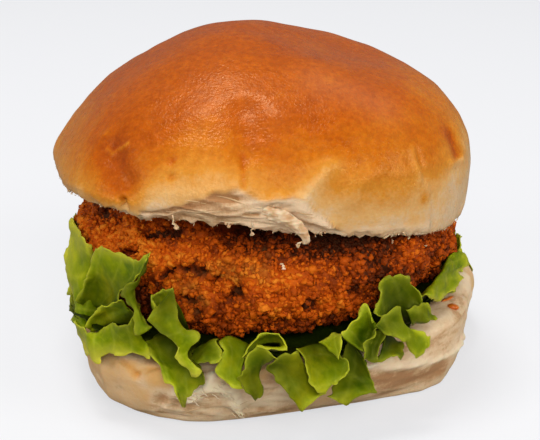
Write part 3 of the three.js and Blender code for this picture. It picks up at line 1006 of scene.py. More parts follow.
# The folds of the margins from the left, round the front, to the right. Each has its free edges,
# its painted light and shade, and rows of (bearing, height, reach) places across the fold.
SIDE_FLAP = (
    "fs", (-0.6, -0.35, -0.3, 0.1),
    [(-164, 41.5, 50.5), (-164, 35.5, 51), (-162.5, 29.5, 53), (-160, 24, 53), (-157.5, 19, 52.5),
     (-153.5, 17.5, 54)],
    [(-157.5, 39.5, 50), (-156.5, 35.5, 50.5), (-154.5, 31, 51.5), (-153, 26, 52.5),
     (-151, 21.5, 53.5), (-149, 18, 54.5)],
    [(-151, 37, 49.5), (-149.5, 34, 49), (-148.5, 31, 49.5), (-148, 26.5, 51), (-146.5, 22.5, 52.5),
     (-143, 19, 55)],
)
BIG_FLAP = (
    "fes", (-0.35, -0.2, 0.8, 0.6),
    [(-142, 40, 52), (-137, 41.5, 51.5), (-130.5, 41, 51.5), (-124, 41.5, 52), (-118.5, 44.5, 53.5)],
    [(-142.5, 35, 53), (-138.5, 36, 51.5), (-132, 36, 51), (-125, 37.5, 52), (-119.5, 41.5, 54)],
    [(-144, 29, 54), (-145.5, 26.5, 50.5), (-139, 28, 50), (-131, 31.5, 51.5), (-124, 36.5, 54)],
    [(-147.5, 24, 54), (-148.5, 22, 51.5), (-143.5, 23, 50), (-135.5, 26, 51), (-128.5, 31.5, 54)],
)
ARCHED_FOLD = (
    "f", (0, 0.1, 0.6, 0.6),
    [(-139.5, 21, 56.5), (-138, 24.5, 56), (-134, 28, 56), (-130.5, 30, 55.5), (-127, 32, 55)],
    [(-140, 20, 55), (-139, 22, 54), (-136, 25, 53), (-131.5, 27, 53), (-127, 29, 53.5)],
    [(-139, 19.5, 54.5), (-137.5, 21, 53), (-134.5, 23, 52.5), (-130.5, 25, 52.5), (-125.5, 28, 53.5)],
)
LOW_FOLD = (
    "fls", (-0.3, 0.5, -1.0, -0.5),
    [(-152.5, 18, 54.5), (-138.5, 20.5, 57), (-134.5, 21.5, 55.5), (-130, 25, 56), (-125.5, 26, 57),
     (-122.5, 28, 57.5), (-122, 30.5, 57)],
    [(-150, 16.5, 54), (-137.5, 19, 57.5), (-133, 20.5, 57), (-128, 22.5, 57), (-124, 24, 57),
     (-121.5, 24, 56.5), (-121, 24, 55.5)],
    [(-147, 14, 53.5), (-136.5, 17, 58), (-132.5, 18.5, 57.5), (-128, 20.5, 57), (-124.5, 21, 56.5),
     (-120.5, 20.5, 56), (-119.5, 22, 55)],
    [(-144.5, 11.5, 53.5), (-135.5, 13.5, 57.5), (-132, 15.5, 57.5), (-128.5, 17.5, 57.5),
     (-124.5, 19, 57), (-120.5, 19.5, 56.5), (-117.5, 19.5, 56)],
)
TIP_FOLD = (
    "lse", (0.85, 0.85, -0.4, 0.6),
    [(-121, 21.5, 54), (-121.5, 20.5, 50), (-117.5, 21, 49), (-113, 20.5, 50), (-108.5, 19.5, 52)],
    [(-117.5, 20, 55.5), (-116.5, 18.5, 53.5), (-113.5, 18, 53), (-109.5, 19, 54), (-105, 19, 55)],
    [(-115, 17.5, 57), (-113, 17, 56.5), (-111, 16.5, 56), (-107, 17.5, 56.5), (-103, 17.5, 57)],
    [(-113.5, 16, 57.5), (-111, 14.5, 58), (-109, 12, 58.5), (-106, 13.5, 58), (-104, 15.5, 57.5)],
)
TWISTED_STRIP = (
    "fls", (0.75, 0.1, 0.75, 0.2),
    [(-118.5, 44.5, 54), (-121.5, 38, 55), (-126, 33.5, 56), (-121.5, 30.5, 57.5), (-120, 25.5, 58.5)],
    [(-118.5, 43, 54.5), (-121, 38.5, 55), (-123.5, 34, 56), (-120, 31, 57), (-118, 26.5, 58.5)],
    [(-119.5, 41, 53.5), (-121.5, 37.5, 54), (-123, 34.5, 54), (-121, 31, 55), (-116.5, 27.5, 57)],
)
FUNNEL = (
    "fle", (0.4, -0.6, 0.75, -0.3),
    [(-116, 32, 57), (-117, 29.5, 57), (-114, 27, 57.5), (-111, 25.5, 58), (-109, 21.5, 59),
     (-106, 18.5, 59.5)],
    [(-113.5, 35, 57), (-113, 31, 57.5), (-110.5, 28.5, 58), (-108.5, 25.5, 58), (-107.5, 22, 58.5),
     (-105, 19, 59.5)],
    [(-111.5, 38, 56), (-110.5, 32, 55.5), (-108.5, 28.5, 55), (-105.5, 26, 55), (-107, 23, 57),
     (-104.5, 20, 59)],
)
FUNNEL_BACK = (
    "f", (0.3, 0.3, 0.7, 0.7),
    [(-116, 32, 56.5), (-117.5, 34, 55.5), (-117, 35.5, 54.5), (-115, 36.5, 54.5), (-111.5, 38, 56)],
    [(-116, 31.5, 56), (-117.5, 32, 54.5), (-116.5, 33.5, 53.5), (-114.5, 34.5, 54),
     (-111.5, 36.5, 55.5)],
    [(-116, 30.5, 56), (-116.5, 31, 54), (-115.5, 32, 53.5), (-114, 33, 54), (-111.5, 35, 55)],
)
SHORT_FOLD = (
    "le", (0.75, 0.5, 0.35, 0.3),
    [(-108.5, 19.5, 52), (-106.5, 21.5, 51.5), (-104, 23, 51.5), (-101.5, 24.5, 53)],
    [(-107, 20, 54.5), (-104.5, 21.5, 54.5), (-102.5, 22.5, 54.5), (-100.5, 24, 55)],
    [(-105, 20, 57), (-103, 20.5, 57.5), (-101, 21.5, 57.5), (-99.5, 22, 57)],
)
MIDDLE_FOLD = (
    "ls", (0.4, 0.4, -0.1, -0.1),
    [(-101, 24.5, 53), (-99.5, 24.5, 50.5), (-97, 24, 50), (-94, 23, 50.5)],
    [(-100, 23.5, 54.5), (-98, 22, 53.5), (-96, 21.5, 53.5), (-94.5, 21.5, 54)],
    [(-100.5, 21, 56.5), (-98.5, 19.5, 56), (-96.5, 19, 56), (-95, 19, 56.5)],
    [(-101, 19, 57), (-98.5, 16.5, 57.5), (-96.5, 15.5, 58), (-95, 15, 58)],
)
LOOP = (
    "fs", (0.1, 0.2, 0.8, 0.8),
    [(-95, 22.5, 57), (-93.5, 25, 56), (-90.5, 27, 55), (-87, 27.5, 54.5), (-84.5, 26.5, 55.5),
     (-85, 25, 57), (-88, 25, 57.5), (-91.5, 27, 57)],
    [(-94, 22, 56), (-93, 23.5, 54), (-90.5, 25, 52.5), (-87, 25, 52), (-85, 25, 53.5),
     (-86, 25, 55.5), (-88, 25.5, 56.5), (-91, 26.5, 56.5)],
    [(-93.5, 22, 55), (-92.5, 22.5, 53), (-90, 23.5, 52), (-87, 23.5, 51.5), (-86, 24, 52.5),
     (-86.5, 24.5, 54.5), (-88, 25, 55.5), (-90, 25.5, 55.5)],
)
TONGUE = (
    "fsle", (0.45, 0.3, 0.65, 0.6),
    [(-96, 18.5, 58.5), (-94.5, 21, 58.5), (-93.5, 24, 58), (-91, 25.5, 58), (-89, 25, 58),
     (-87, 23, 58)],
    [(-95.5, 17.5, 58.5), (-93.5, 19.5, 58), (-92.5, 22, 57.5), (-91, 23, 57), (-89.5, 22.5, 56.5),
     (-88, 22, 56.5)],
    [(-94, 15.5, 58.5), (-93, 17, 58), (-92, 19.5, 57.5), (-91, 20.5, 57), (-90.5, 21, 56),
     (-89.5, 21, 55.5)],
    [(-92, 12.5, 58.5), (-91, 13, 58.5), (-90, 14.5, 58.5), (-91, 17.5, 57.5), (-91, 18.5, 56.5),
     (-90.5, 19.5, 55.5)],
)
PALE_LOBE = (
    "fsl", (0.85, 0.35, 0.35, 0.1),
    [(-89, 21, 58.5), (-88.5, 22.5, 58), (-86.5, 23.5, 57.5), (-84, 24.5, 57), (-82, 24, 56.5)],
    [(-88.5, 20, 58.5), (-86.5, 21, 58), (-84.5, 21, 57.5), (-82, 21, 56.5), (-80.5, 20.5, 56)],
    [(-86, 17, 59), (-84.5, 18, 58), (-82.5, 18, 57.5), (-80.5, 18, 57), (-79, 17, 56)],
    [(-84, 14.5, 59), (-83, 14, 59), (-81, 14, 58), (-79.5, 14, 57.5), (-77.5, 14, 56.5)],
    [(-82.5, 13, 59), (-81.5, 11, 59.5), (-79.5, 12.5, 59), (-77.5, 13, 58), (-75.5, 13, 57)],
)
BROAD_LOBE = (
    "fle", (0.5, 0.0, 0.6, 0.05),
    [(-82.5, 24.5, 56.5), (-81, 22.5, 58), (-80.5, 19, 59), (-79, 16.5, 59.5), (-76, 14.5, 59.5)],
    [(-79, 23, 52), (-78.5, 21, 54), (-77.5, 18.5, 56.5), (-76.5, 17, 58.5), (-74.5, 15.5, 59)],
    [(-75.5, 22.5, 50.5), (-74.5, 20, 52.5), (-74, 18.5, 55.5), (-73.5, 17.5, 57.5), (-73, 16, 58.5)],
    [(-71.5, 21.5, 51.5), (-71, 20, 54), (-70.5, 19.5, 56), (-71, 18, 57.5), (-71.5, 17, 58)],
    [(-70.5, 20.5, 53.5), (-70.5, 20, 55), (-70, 20, 56), (-70.5, 19, 57), (-71, 17.5, 58)],
)
CURLED_TIP = (
    "fel", (0.1, 0, 0.15, 0.15),
    [(-76, 24, 52.5), (-73.5, 24.5, 52), (-71.5, 25, 52), (-70.5, 25.5, 54)],
    [(-75, 23.5, 54), (-73.5, 23.5, 53.5), (-72, 24, 54.5), (-71.5, 24.5, 56)],
    [(-74, 22.5, 54.5), (-73, 22.5, 55), (-72, 22.5, 56), (-72, 22.5, 57)],
    [(-73.5, 22, 55.5), (-72.5, 21.5, 56), (-72.5, 21.5, 57), (-72.5, 21.5, 57.5)],
)
OUTER_LOBE = (
    "els", (1.0, 0.8, 0.45, 0.05),
    [(-69, 24, 53), (-68, 23.5, 53.5), (-67, 22.5, 54.5), (-66, 20.5, 55.5), (-65, 18.5, 56.5)],
    [(-69.5, 20, 53), (-68, 19.5, 54), (-66.5, 18, 55), (-65, 16.5, 56), (-63.5, 14.5, 57)],
    [(-71, 16, 54), (-69, 15.5, 55), (-67.5, 14.5, 56), (-65, 13.5, 57), (-63, 11.5, 58)],
    [(-73.5, 13.5, 56), (-71.5, 13.5, 57), (-69.5, 13, 57.5), (-67.5, 12.5, 58), (-64.5, 11.5, 58.5)],
    [(-75.5, 13, 57.5), (-73, 11.5, 58), (-71, 10.5, 59), (-68.5, 11.5, 58.5), (-66, 12, 58.5)],
)
CREST_FOLD = (
    "fl", (-0.1, 0.0, 0.6, 0.45),
    [(-71, 26, 55), (-69, 27.5, 54), (-66.5, 29.5, 53.5), (-64, 31.5, 52.5), (-62.5, 31, 53),
     (-62, 28, 55)],
    [(-69.5, 24.5, 55.5), (-67, 26, 54), (-64, 26.5, 53), (-62.5, 27.5, 52.5), (-62, 27.5, 53),
     (-61.5, 27.5, 55)],
    [(-68, 23.5, 56.5), (-65.5, 23.5, 54), (-63, 24, 53), (-62, 25, 53), (-61.5, 25.5, 54),
     (-62.5, 27, 56)],
    [(-67, 22.5, 57.5), (-65.5, 23, 56.5), (-63.5, 24, 56), (-63, 25.5, 56), (-63, 26.5, 56),
     (-62.5, 27, 56.5)],
)
NARROW_FOLD = (
    "fle", (0.45, 0.55, 0.65, 0.65),
    [(-63.5, 27, 57), (-64.5, 25, 57), (-66.5, 22.5, 57.5), (-66.5, 20, 58)],
    [(-61.5, 26, 56), (-62.5, 23.5, 56), (-64, 21.5, 56.5), (-65, 19.5, 57.5)],
    [(-61, 26.5, 57), (-61.5, 24.5, 57.5), (-63, 21.5, 58), (-64, 19.5, 58)],
)
SHADED_FOLD = (
    "le", (0.9, 0.85, 0.5, 0.35),
    [(-59, 24.5, 54.5), (-56.5, 23, 54), (-54.5, 21, 54), (-53, 20, 55)],
    [(-61, 21.5, 55.5), (-58.5, 20.5, 55), (-55.5, 19.5, 55), (-54, 19, 56)],
    [(-63.5, 19, 58), (-61, 19, 58), (-58.5, 19, 58), (-55.5, 18.5, 58)],
)
RIGHT_FLAP = (
    "fs", (0.3, 0.3, 1.0, 1.0),
    [(-61, 28.5, 53.5), (-59, 33.5, 52), (-58.5, 36.5, 52), (-54.5, 37.5, 51.5), (-49.5, 35.5, 52),
     (-46.5, 32.5, 52.5), (-45.5, 29, 54)],
    [(-61, 28, 54), (-57.5, 30.5, 52), (-55.5, 32.5, 51), (-52, 32, 51), (-48.5, 30.5, 51),
     (-46.5, 29, 52), (-46, 27, 54)],
    [(-60.5, 27, 54.5), (-57, 27.5, 53), (-54, 27, 52), (-51, 26.5, 51.5), (-50, 26, 52),
     (-49, 25.5, 53), (-48.5, 25, 54.5)],
)
SPREAD_FOLD = (
    "fle", (0.6, 0.0, 0.5, 0.0),
    [(-63.5, 28.5, 57), (-60, 29.5, 56.5), (-55.5, 31, 56), (-54.5, 28, 56.5), (-53.5, 25.5, 57.5),
     (-49, 22.5, 59.5)],
    [(-62.5, 27.5, 57.5), (-59.5, 27.5, 57), (-56.5, 27.5, 57), (-54.5, 25, 58), (-53, 23, 58.5),
     (-49.5, 21, 59.5)],
    [(-61.5, 26.5, 58), (-59.5, 25.5, 58), (-57, 24, 58.5), (-55.5, 22, 59), (-54, 19, 60),
     (-50.5, 20, 59.5)],
)
SMALL_FLAP = (
    "fel", (0.4, 0.3, 0.65, 0.55),
    [(-52, 28.5, 54.5), (-49, 28.5, 54.5), (-45.5, 29, 54.5), (-44.5, 26.5, 56), (-43.5, 25, 58)],
    [(-51.5, 26.5, 55), (-49, 26.5, 55.5), (-46.5, 27, 56), (-45.5, 26, 56.5), (-44.5, 24.5, 57.5)],
    [(-50.5, 24.5, 55.5), (-49, 25, 56), (-47.5, 25.5, 57), (-46.5, 25.5, 57), (-45.5, 25, 57.5)],
)
FAR_FLAP = (
    "fe", (-0.25, -0.45, 0.3, 0.05),
    [(-10.5, 31, 50.5), (-10, 29, 53), (-12, 27, 53.5), (-14.5, 26.5, 52), (-16.5, 25, 53.5),
     (-22.5, 24, 52.5), (-32, 23.5, 51)],
    [(-16.5, 31, 49.5), (-18, 30, 51), (-19.5, 28, 51.5), (-22, 27.5, 51), (-24, 26, 51.5),
     (-29.5, 25.5, 51), (-37, 26, 51.5)],
    [(-21.5, 30.5, 49.5), (-25, 30, 49.5), (-28.5, 30, 50), (-31.5, 29.5, 50), (-34, 28.5, 50),
     (-37.5, 28, 50.5), (-41, 27.5, 51.5)],
)
INNER_FOLDS = (
    SIDE_FLAP, BIG_FLAP, ARCHED_FOLD, TWISTED_STRIP, FUNNEL, FUNNEL_BACK, SHORT_FOLD, LOOP,
    BROAD_LOBE, CURLED_TIP, CREST_FOLD, RIGHT_FLAP, SPREAD_FOLD, FAR_FLAP,
)
OUTER_FOLDS = (
    LOW_FOLD, TIP_FOLD, MIDDLE_FOLD, TONGUE, PALE_LOBE, OUTER_LOBE, NARROW_FOLD, SHADED_FOLD,
    SMALL_FLAP,
)


def further_round(part, turn, drop=0.0):
    """The same kind of fold again further round the leaf, a little lower or higher."""
    rows = [[(angle + turn, height - drop, out - 0.8) for angle, height, out in row] for row in part[2:]]
    return (part[0], part[1], *rows)


# The margin goes on in the same way round the sides and the back.
INNER_FOLDS += (
    further_round(SPREAD_FOLD, 88, 1), further_round(RIGHT_FLAP, 92, 4), further_round(BIG_FLAP, 200, 5),
    further_round(TWISTED_STRIP, 196, 4), further_round(CREST_FOLD, 170), further_round(BIG_FLAP, 248, 3),
    further_round(FUNNEL, 240, 1), further_round(RIGHT_FLAP, 180, 2), further_round(BROAD_LOBE, 215, -2),
    further_round(SPREAD_FOLD, 205), further_round(CURLED_TIP, 140), further_round(FAR_FLAP, 172, 2),
)
OUTER_FOLDS += (
    further_round(PALE_LOBE, 130, -3), further_round(TONGUE, 112), further_round(LOW_FOLD, 190, 1),
    further_round(TIP_FOLD, 222), further_round(OUTER_LOBE, 190, -2), further_round(TONGUE, 190),
    further_round(MIDDLE_FOLD, 236), further_round(SMALL_FLAP, 196), further_round(TIP_FOLD, 262),
    further_round(PALE_LOBE, 232, -3), further_round(OUTER_LOBE, 150, -3),
)

# The flat sheet that the folds grow from. Its own margin is tucked in behind them at the front.
leaf_random = np.random.default_rng(31)
leaf_solids = (surface_of(lower_bun), surface_of(patty))
tucked_in = [
    (-170, 1.2, 52), (-160, 1.4, 53), (-150, 1.4, 54.5), (-140, 1.4, 55), (-130, 1.4, 54), (-121, 0.6, 50),
    (-112, 0.2, 49), (-100, 0.5, 50), (-85, 0.8, 51), (-70, 0.8, 51), (-58, 0.8, 50), (-45, 0.6, 49),
    (-34, 0.4, 47),
]
inner_margin = tucked_in + [(-24, 4, 48), (-14, 9, 50), (-5, 13, 51.3), (2, 9, 52)]
inner_margin += hidden_folds(10, 168, 15, 1, 9, 49.5, leaf_random) + [(172, 12, 50.5), (180, 17, 50.5)]
outer_margin = tucked_in + [(-22, 0.5, 47), (-12, 1, 51), (-4, 4, 52), (3, 0, 53)]
outer_margin += hidden_folds(9, 168, 14, -4, 3, 50.5, leaf_random) + [(173, 2, 51.5), (180, 5, 51.5)]

leaf_material, tree, shader = new_material("lettuce")
edge_here = painted(tree, "edge")
broad = reckon(tree, "MULTIPLY", grain(tree, 60, 3), 0.55)
patchy = reckon(tree, "MULTIPLY_ADD", grain(tree, 260, 3), 0.45, broad)
fine = grain(tree, 700, 4)
colour = ramp(
    tree, patchy, (0.34, srgb(84, 116, 1)), (0.5, srgb(140, 156, 3)), (0.64, srgb(190, 190, 18)),
)
colour = mixed(tree, reckon(tree, "MULTIPLY", painted(tree, "vein"), 0.35), colour, srgb(186, 196, 60))
colour = mixed(tree, reckon(tree, "MULTIPLY", edge_here, 0.8), colour, srgb(200, 206, 62))
speckled = ramp(tree, fine, (0.3, (0.6, 0.7, 0.4, 1)), (0.7, (1, 1, 1, 1)))
colour = mixed(tree, 0.35, colour, speckled, "MULTIPLY")
# Painted light and shade: negative values turn the leaf a paler yellow-green, as light, positive ones a dark
# green, as shade.
painted_shade_here = painted(tree, "deep")
colour = mixed(tree, reckon(tree, "MULTIPLY", painted_shade_here, -1), colour, srgb(222, 218, 80))
colour = mixed(tree, painted_shade_here, colour, srgb(26, 38, 4))
connect(
    tree, shader,
    Base_Color=colour, Roughness=0.42, Specular_IOR_Level=0.2, Specular_Tint=srgb(250, 255, 120),
    Subsurface_Weight=0.2, Subsurface_Scale=0.0015, Subsurface_Radius=(0.8, 1.0, 0.02),
    Normal=bump(tree, patchy, 1.2, 0.5, bump(tree, fine, 0.2, 0.5)),
)

for name, node, margin, base, folds in (
    ("inner_leaf", "lettuce_inner", inner_margin, 19.9, INNER_FOLDS),
    ("outer_leaf", "lettuce_outer", outer_margin, 18.9, OUTER_FOLDS),
):
    sheet, edge, light_and_shade = ring_leaf(margin, base, ROOT_REACH)
    parts = [(kept_clear(frilled(sheet, edge, 51), leaf_solids, SHEET_GAP), edge, light_and_shade, True)]
    for number, rows in enumerate(folds):
        sheet, edge, light_and_shade = fold(*rows)
        sheet = kept_clear(frilled(sheet, edge, 60 + 7 * number), leaf_solids, FOLD_GAP)
        parts.append((sheet, edge, light_and_shade, False))
    dressed(leaf_piece(name, parts, LEAF_THICKNESS), leaf_material, "lettuce", node)

# ---- Upper half of the roll ----------------------------------------------------------------------
# The domed upper half, baked in a tray against its neighbours: glazed orange-brown crust on top,
# paler down the sides, and torn white crumb with loose shreds along the front of the cut edge.

# How high up the side the crust has turned amber, for a few bearings.
AMBER_FROM = (
    (-180, 55), (-159, 54.5), (-153, 55.5), (-141, 57.5), (-131, 57), (-125, 57.5), (-120.5, 59.5),
    (-117, 62), (-112, 63.5), (-106, 64.5), (-95, 64.5), (-87, 62), (-82, 59.5), (-74, 59), (-68, 58.2),
    (-60, 57.2), (-46, 57.2), (-40, 58), (-35, 60), (-29, 62.5), (-18, 62), (10, 59), (45, 60), (80, 58),
    (120, 60), (150, 58), (180, 55),
)

# How far the torn lip is lifted above the cut, for a few bearings.
LIP_LIFT = (
    (-150, 0), (-140, 1.3), (-130, 1.4), (-125, 1.3), (-121, 0.3), (-114, 0.8), (-110, 2.6), (-102, 2.6),
    (-96, 2.3), (-92, 1.6), (-88, 0.9), (-83, 0.5), (-76, 1.3), (-69, 0.4), (-58, 0.1), (-50, -0.6),
    (-43, -1.8), (-37, -2.3), (-30, -1.8), (-20, -0.6), (-10, 0),
)

# How high the torn white crumb reaches up the front, from left to right.
TORN_TOP = (
    (-28, 54.2), (-24.7, 54.8), (-19.9, 56.6), (-14.6, 58.8), (-10.6, 60.3), (-7.5, 60.6), (-6, 60),
    (-2.9, 59.3), (0.2, 58.2), (6.4, 58), (9.5, 56.4), (12.7, 53.9), (16.2, 50.6), (19, 48.5),
)

# Where the marks on the crust and the lip run.
DENT = [(-35.2, -37.2, 66.4), (-32.9, -42.2, 63.4), (-31.6, -45.1, 60.9)]
LEFT_OF_DENT = [(-38, -37, 66), (-37, -40, 62), (-36, -43, 59.5)]
VALLEY = [(-3.8, -37.0, 74.8), (-3.4, -41.0, 71.7), (-3.6, -44.9, 68.0)]
CREASE = [(-4.6, -45.6, 67.2), (-4.5, -46.3, 66.3), (-4.3, -49.4, 61.3)]
CREST = [
    (-13.2, -37.6, 73.6), (-8.7, -34.6, 76.2), (-4.2, -33.5, 77.1), (0.1, -34.8, 76.1), (3.5, -38.1, 73.7),
]
CREST_TAIL = [(3.5, -38.1, 73.7), (6.7, -38.9, 72.5), (9.8, -40.3, 70.8), (16.4, -40.4, 69.2)]
SIDE_BULGE = [(-17.1, -35.8, 74.5), (-14.4, -36.3, 74.6)]
RIGHT_SHEEN = [(13, -27, 79), (21, -28, 76.5), (27, -29, 74.3)]
RIDGE = [(15.0, -44.2, 64.0), (11.4, -46.7, 61.1), (9.2, -48.0, 57.8)]
SECOND_RIDGE = [(26.0, -41.0, 62.5), (21.5, -44.2, 60.0), (19.5, -45.4, 57.0)]
BLISTER_LINE = [
    (-36.4, -35.3, 66.4), (-35.3, -37.3, 65.9), (-34, -37.4, 66.7), (-32.2, -38.2, 67.2),
    (-30.7, -38.4, 68),
]
BLISTER = [(-36.5, -31.9, 68.4)]
PITS = ([(-20.3, -45.4, 66.0)], [(-20.5, -47.9, 63.0)])
WRINKLES = [(34.2, -35.3, 65.3), (35.1, -36.5, 62.1), (35.9, -37.0, 58.6)]
AMBER_SPOT = [(36.8, -36.6, 53.8)]
SIDE_FOLD = [(38.1, -35.2, 59.2), (39.5, -34.3, 52.8), (40.2, -32.3, 46.6)]
FAR_PATCH = [(45.2, -23.2, 65.0), (46.3, -24.8, 61.0)]
FAR_LIP = [(44.2, -28.6, 59.8), (46.0, -26.0, 59.4), (47.6, -22.6, 59.2)]
ROLLED_LIP = [
    (0.2, -50, 57.3), (1.7, -49.4, 58.3), (4.8, -48.9, 58), (8.2, -48.5, 56), (11.2, -47.5, 52.3),
    (14.8, -46.1, 50.1),
]
LIP_CREASE = [(1.0, -50, 55.8), (5.5, -48.8, 53.6), (8.7, -47.7, 50.7), (10.2, -47, 48.6)]
STAINS = (
    [(-19.0, -48, 56.4), (-16.3, -48.5, 56.2)], [(-11.5, -49, 58.6), (-6.5, -49.5, 58.2)],
    [(-4.0, -50, 54.5), (-1.5, -50, 54.3)],
)
NOTCH = [(-32.1, -46.3, 56.8), (-31.8, -46.6, 55.0), (-31.8, -46.4, 53.0)]

upper_bun = dense_copy("bun_top", "upper_bun", BREAD_SPACING, 10)
p = points_of(upper_bun)
outward = normals_of(upper_bun)
around, height = bearing(p), p[:, 2]


def on(*corners, width):
    """1 on the upper half along one of its marks, fading over the width on each side."""
    return near_line(p, outward, list(corners), width)


# Where the crumb is torn bare, from 0 to 1. The cut edge that it starts from is lower at the right.
rim = 50.3 - 0.045 * p[:, 0] + 2.8 * near_bearing(around, -172, 50)
crumb_top = np.interp(p[:, 0], *zip(*TORN_TOP), left=40, right=40)
front = rise(-p[:, 1], 34, 40)
torn = rise(crumb_top + 0.8 * lumps(p, 5, 44, 2) - height, -0.6, 0.6) * front
underside = rise(-outward[:, 2], 0.7, 0.92)
ragged_foot = 0.5 * near(height, rim - 0.8, 1.3) * rise(lumps(p, 6, 45, 2), -0.2, 0.5)
ragged_foot *= rise(p[:, 0], -36, -26)
strands = 0.6 * fibres(p, 18, 2.0, 46, 2) + 0.7 * (0.45 - np.abs(fibres(p, 12, 1.2, 49, 1)))

# How far each point moves outwards, in millimetres.
swell = 0.7 * lumps(p, 26, 41) + 0.22 * lumps(p, 9, 42)
swell += -1.3 * on(*DENT, width=3.2) - 0.3 * on(*CREASE, width=0.7) - 0.9 * on(*VALLEY, width=4.0)
swell += 0.35 * on(*CREST, width=3.0) + 0.3 * on(*CREST_TAIL, width=3.0) + 0.25 * on(*SIDE_BULGE, width=2.5)
swell += 0.8 * on(*RIDGE, width=2.0) + 0.5 * on(*SECOND_RIDGE, width=2.2)
swell += 0.35 * on(*BLISTER_LINE, width=0.6) + 0.2 * on(*BLISTER, width=1.4)
swell += -0.5 * on(*PITS[0], width=1.2) - 0.5 * on(*PITS[1], width=0.9)
beside_wrinkles = [(x + 1.4, y + 0.8, z) for x, y, z in WRINKLES]
swell += 0.4 * on(*WRINKLES, width=1.0) - 0.3 * on(*beside_wrinkles, width=0.9)
swell += -0.35 * on(*SIDE_FOLD, width=1.1) - 1.0 * on(*FAR_PATCH, width=2.6)
swell += 0.6 * on(*FAR_LIP, width=1.0)
swell += torn * (0.8 * strands + 0.25 * fibres(p, 5, 0.9, 66, 2) - 0.6)
on_top = rise(height, 68, 78) * near(p[:, 1], 8, 18)
swell += on_top * (0.35 * near(p[:, 0], -6, 9) - 0.6 * near(p[:, 0], -28, 12) - 1.5 * near(p[:, 0], 20, 13))
swell += 1.3 * on(*ROLLED_LIP, width=1.5) - 1.0 * on(*LIP_CREASE, width=0.8)
swell -= 2.4 * on(*NOTCH, width=0.8)
worn = p + outward * swell[:, None]

# The cut edge is the lowest point at each of many bearings. It is worn into fine teeth.
BEARINGS = 480
lowness = 0.6 * np.hypot(p[:, 0], p[:, 1]) - height
slot_of = np.floor((around + 180) / (360 / BEARINGS)).astype(int) % BEARINGS
order = np.argsort(lowness)
lowest = np.zeros(BEARINGS, int)
lowest[slot_of[order]] = order
worn[:, 2] -= 1.6 * near_bearing(around, -168, 34) * (1 - rise(height, 58, 74))
lowest_there = lowness[lowest][slot_of]
near_cut = rise(lowness - lowest_there, -1.6, 0)
teeth = 0.5 * lumps(worn * (1, 1, 0.3), 2.4, 64, 2) + 0.45 * lumps(worn * (1, 1, 0.3), 1.3, 70)
teeth += 0.4 * lumps(worn, 7, 65) * (1 - 0.7 * rise(worn[:, 0], 8, 16))
teeth = np.clip(teeth, -0.8, 1.2)
worn[:, 2] -= near_cut * 0.8 * teeth
worn[:, 2] += rise(lowness - lowest_there, -6, 0) * np.interp(around, *zip(*LIP_LIFT))
move_to(upper_bun, worn)

# The bake goes by the height over the amber line. Painted shade makes it darker in the dent, the
# valley and the creases and along the crest under its sheen, and a painted highlight makes it
# lighter on the ridge.
over_line = height - np.interp(around, *zip(*AMBER_FROM)) + 1.4 * lumps(p, 8, 47, 2)
over_line += 2.5 * lumps(p, 24, 48) * rise(p[:, 1], -20, 0)
bake_and_shade = np.interp(over_line, (-10, -5, 0, 6, 14, 28), (0.06, 0.13, 0.34, 0.56, 0.7, 0.82))
bake_and_shade += 0.05 * lumps(p, 13, 43, 2)
bake_and_shade += 0.26 * on(*DENT, width=5) + 0.14 * on(*LEFT_OF_DENT, width=6) + 0.2 * on(*CREASE, width=0.8)
bake_and_shade += 0.1 * on(*VALLEY, width=4.5) - 0.2 * on(*RIDGE, width=2.4)
bake_and_shade += 0.12 * on((-16, -38, 73), (10, -38, 73), width=9) + 0.03 * near_bearing(around, -93, 14)
bake_and_shade -= 0.38 * on(*BLISTER_LINE, width=0.6) + 0.15 * on(*BLISTER, width=1.6)
bake_and_shade += 0.22 * on(*PITS[0], width=1.2) + 0.24 * on(*PITS[1], width=1.0) + 0.25 * on(*AMBER_SPOT, width=1.6)
bake_and_shade -= 0.1 * on(*WRINKLES, width=1.4) + 0.05 * rise(p[:, 0], 10, 28)
bake_and_shade -= 0.05 * near(p[:, 0], 46, 8) * rise(height, 60, 64)
bake_and_shade -= 0.05 * rise(-p[:, 0], 15, 35) * (1 - rise(height, 66, 72))
bake_and_shade += 0.5 * on(*FAR_PATCH, width=2.8) * rise(height, 59.6, 60.6)
paint(upper_bun, "bake_and_shade", np.clip(bake_and_shade, 0.05, 1))
# A painted sheen, paler and pinker, along the crest and on the right shoulder.
paint(upper_bun, "painted_sheen", 0.1 * on(*CREST, width=4) + 0.5 * on(*RIGHT_SHEEN, width=6))
paint(upper_bun, "torn", np.clip(np.maximum.reduce([torn, underside, ragged_foot]), 0, 1))
# The torn crumb is painted paler on its raised strands and along the rolled lip, as light, and darker in the
# crease under the lip, as shade.
depth = 0.36 + 0.1 * rise(-p[:, 0], 16, 24) + 0.46 * rise(p[:, 0], -9, 0) + 0.2 * strands
depth += 0.15 * on(*ROLLED_LIP, width=1.6) - 0.3 * on(*LIP_CREASE, width=0.9)
for stain in STAINS:
    depth -= 0.35 * on(*stain, width=0.8)
paint(upper_bun, "depth", depth + 0.15 * near(height, rim, 2.0))

crust_material, tree, shader = new_material("browned_crust")
skin = use_group(tree, baked_skin, Bake=painted(tree, "bake_and_shade"), Unevenness=0.3)
crumb = use_group(
    tree, torn_bread, Depth=painted(tree, "depth"),
    Pale=srgb(230, 204, 174), Middle=srgb(206, 172, 136), Hollow=srgb(166, 122, 84),
)
torn_here = painted(tree, "torn")
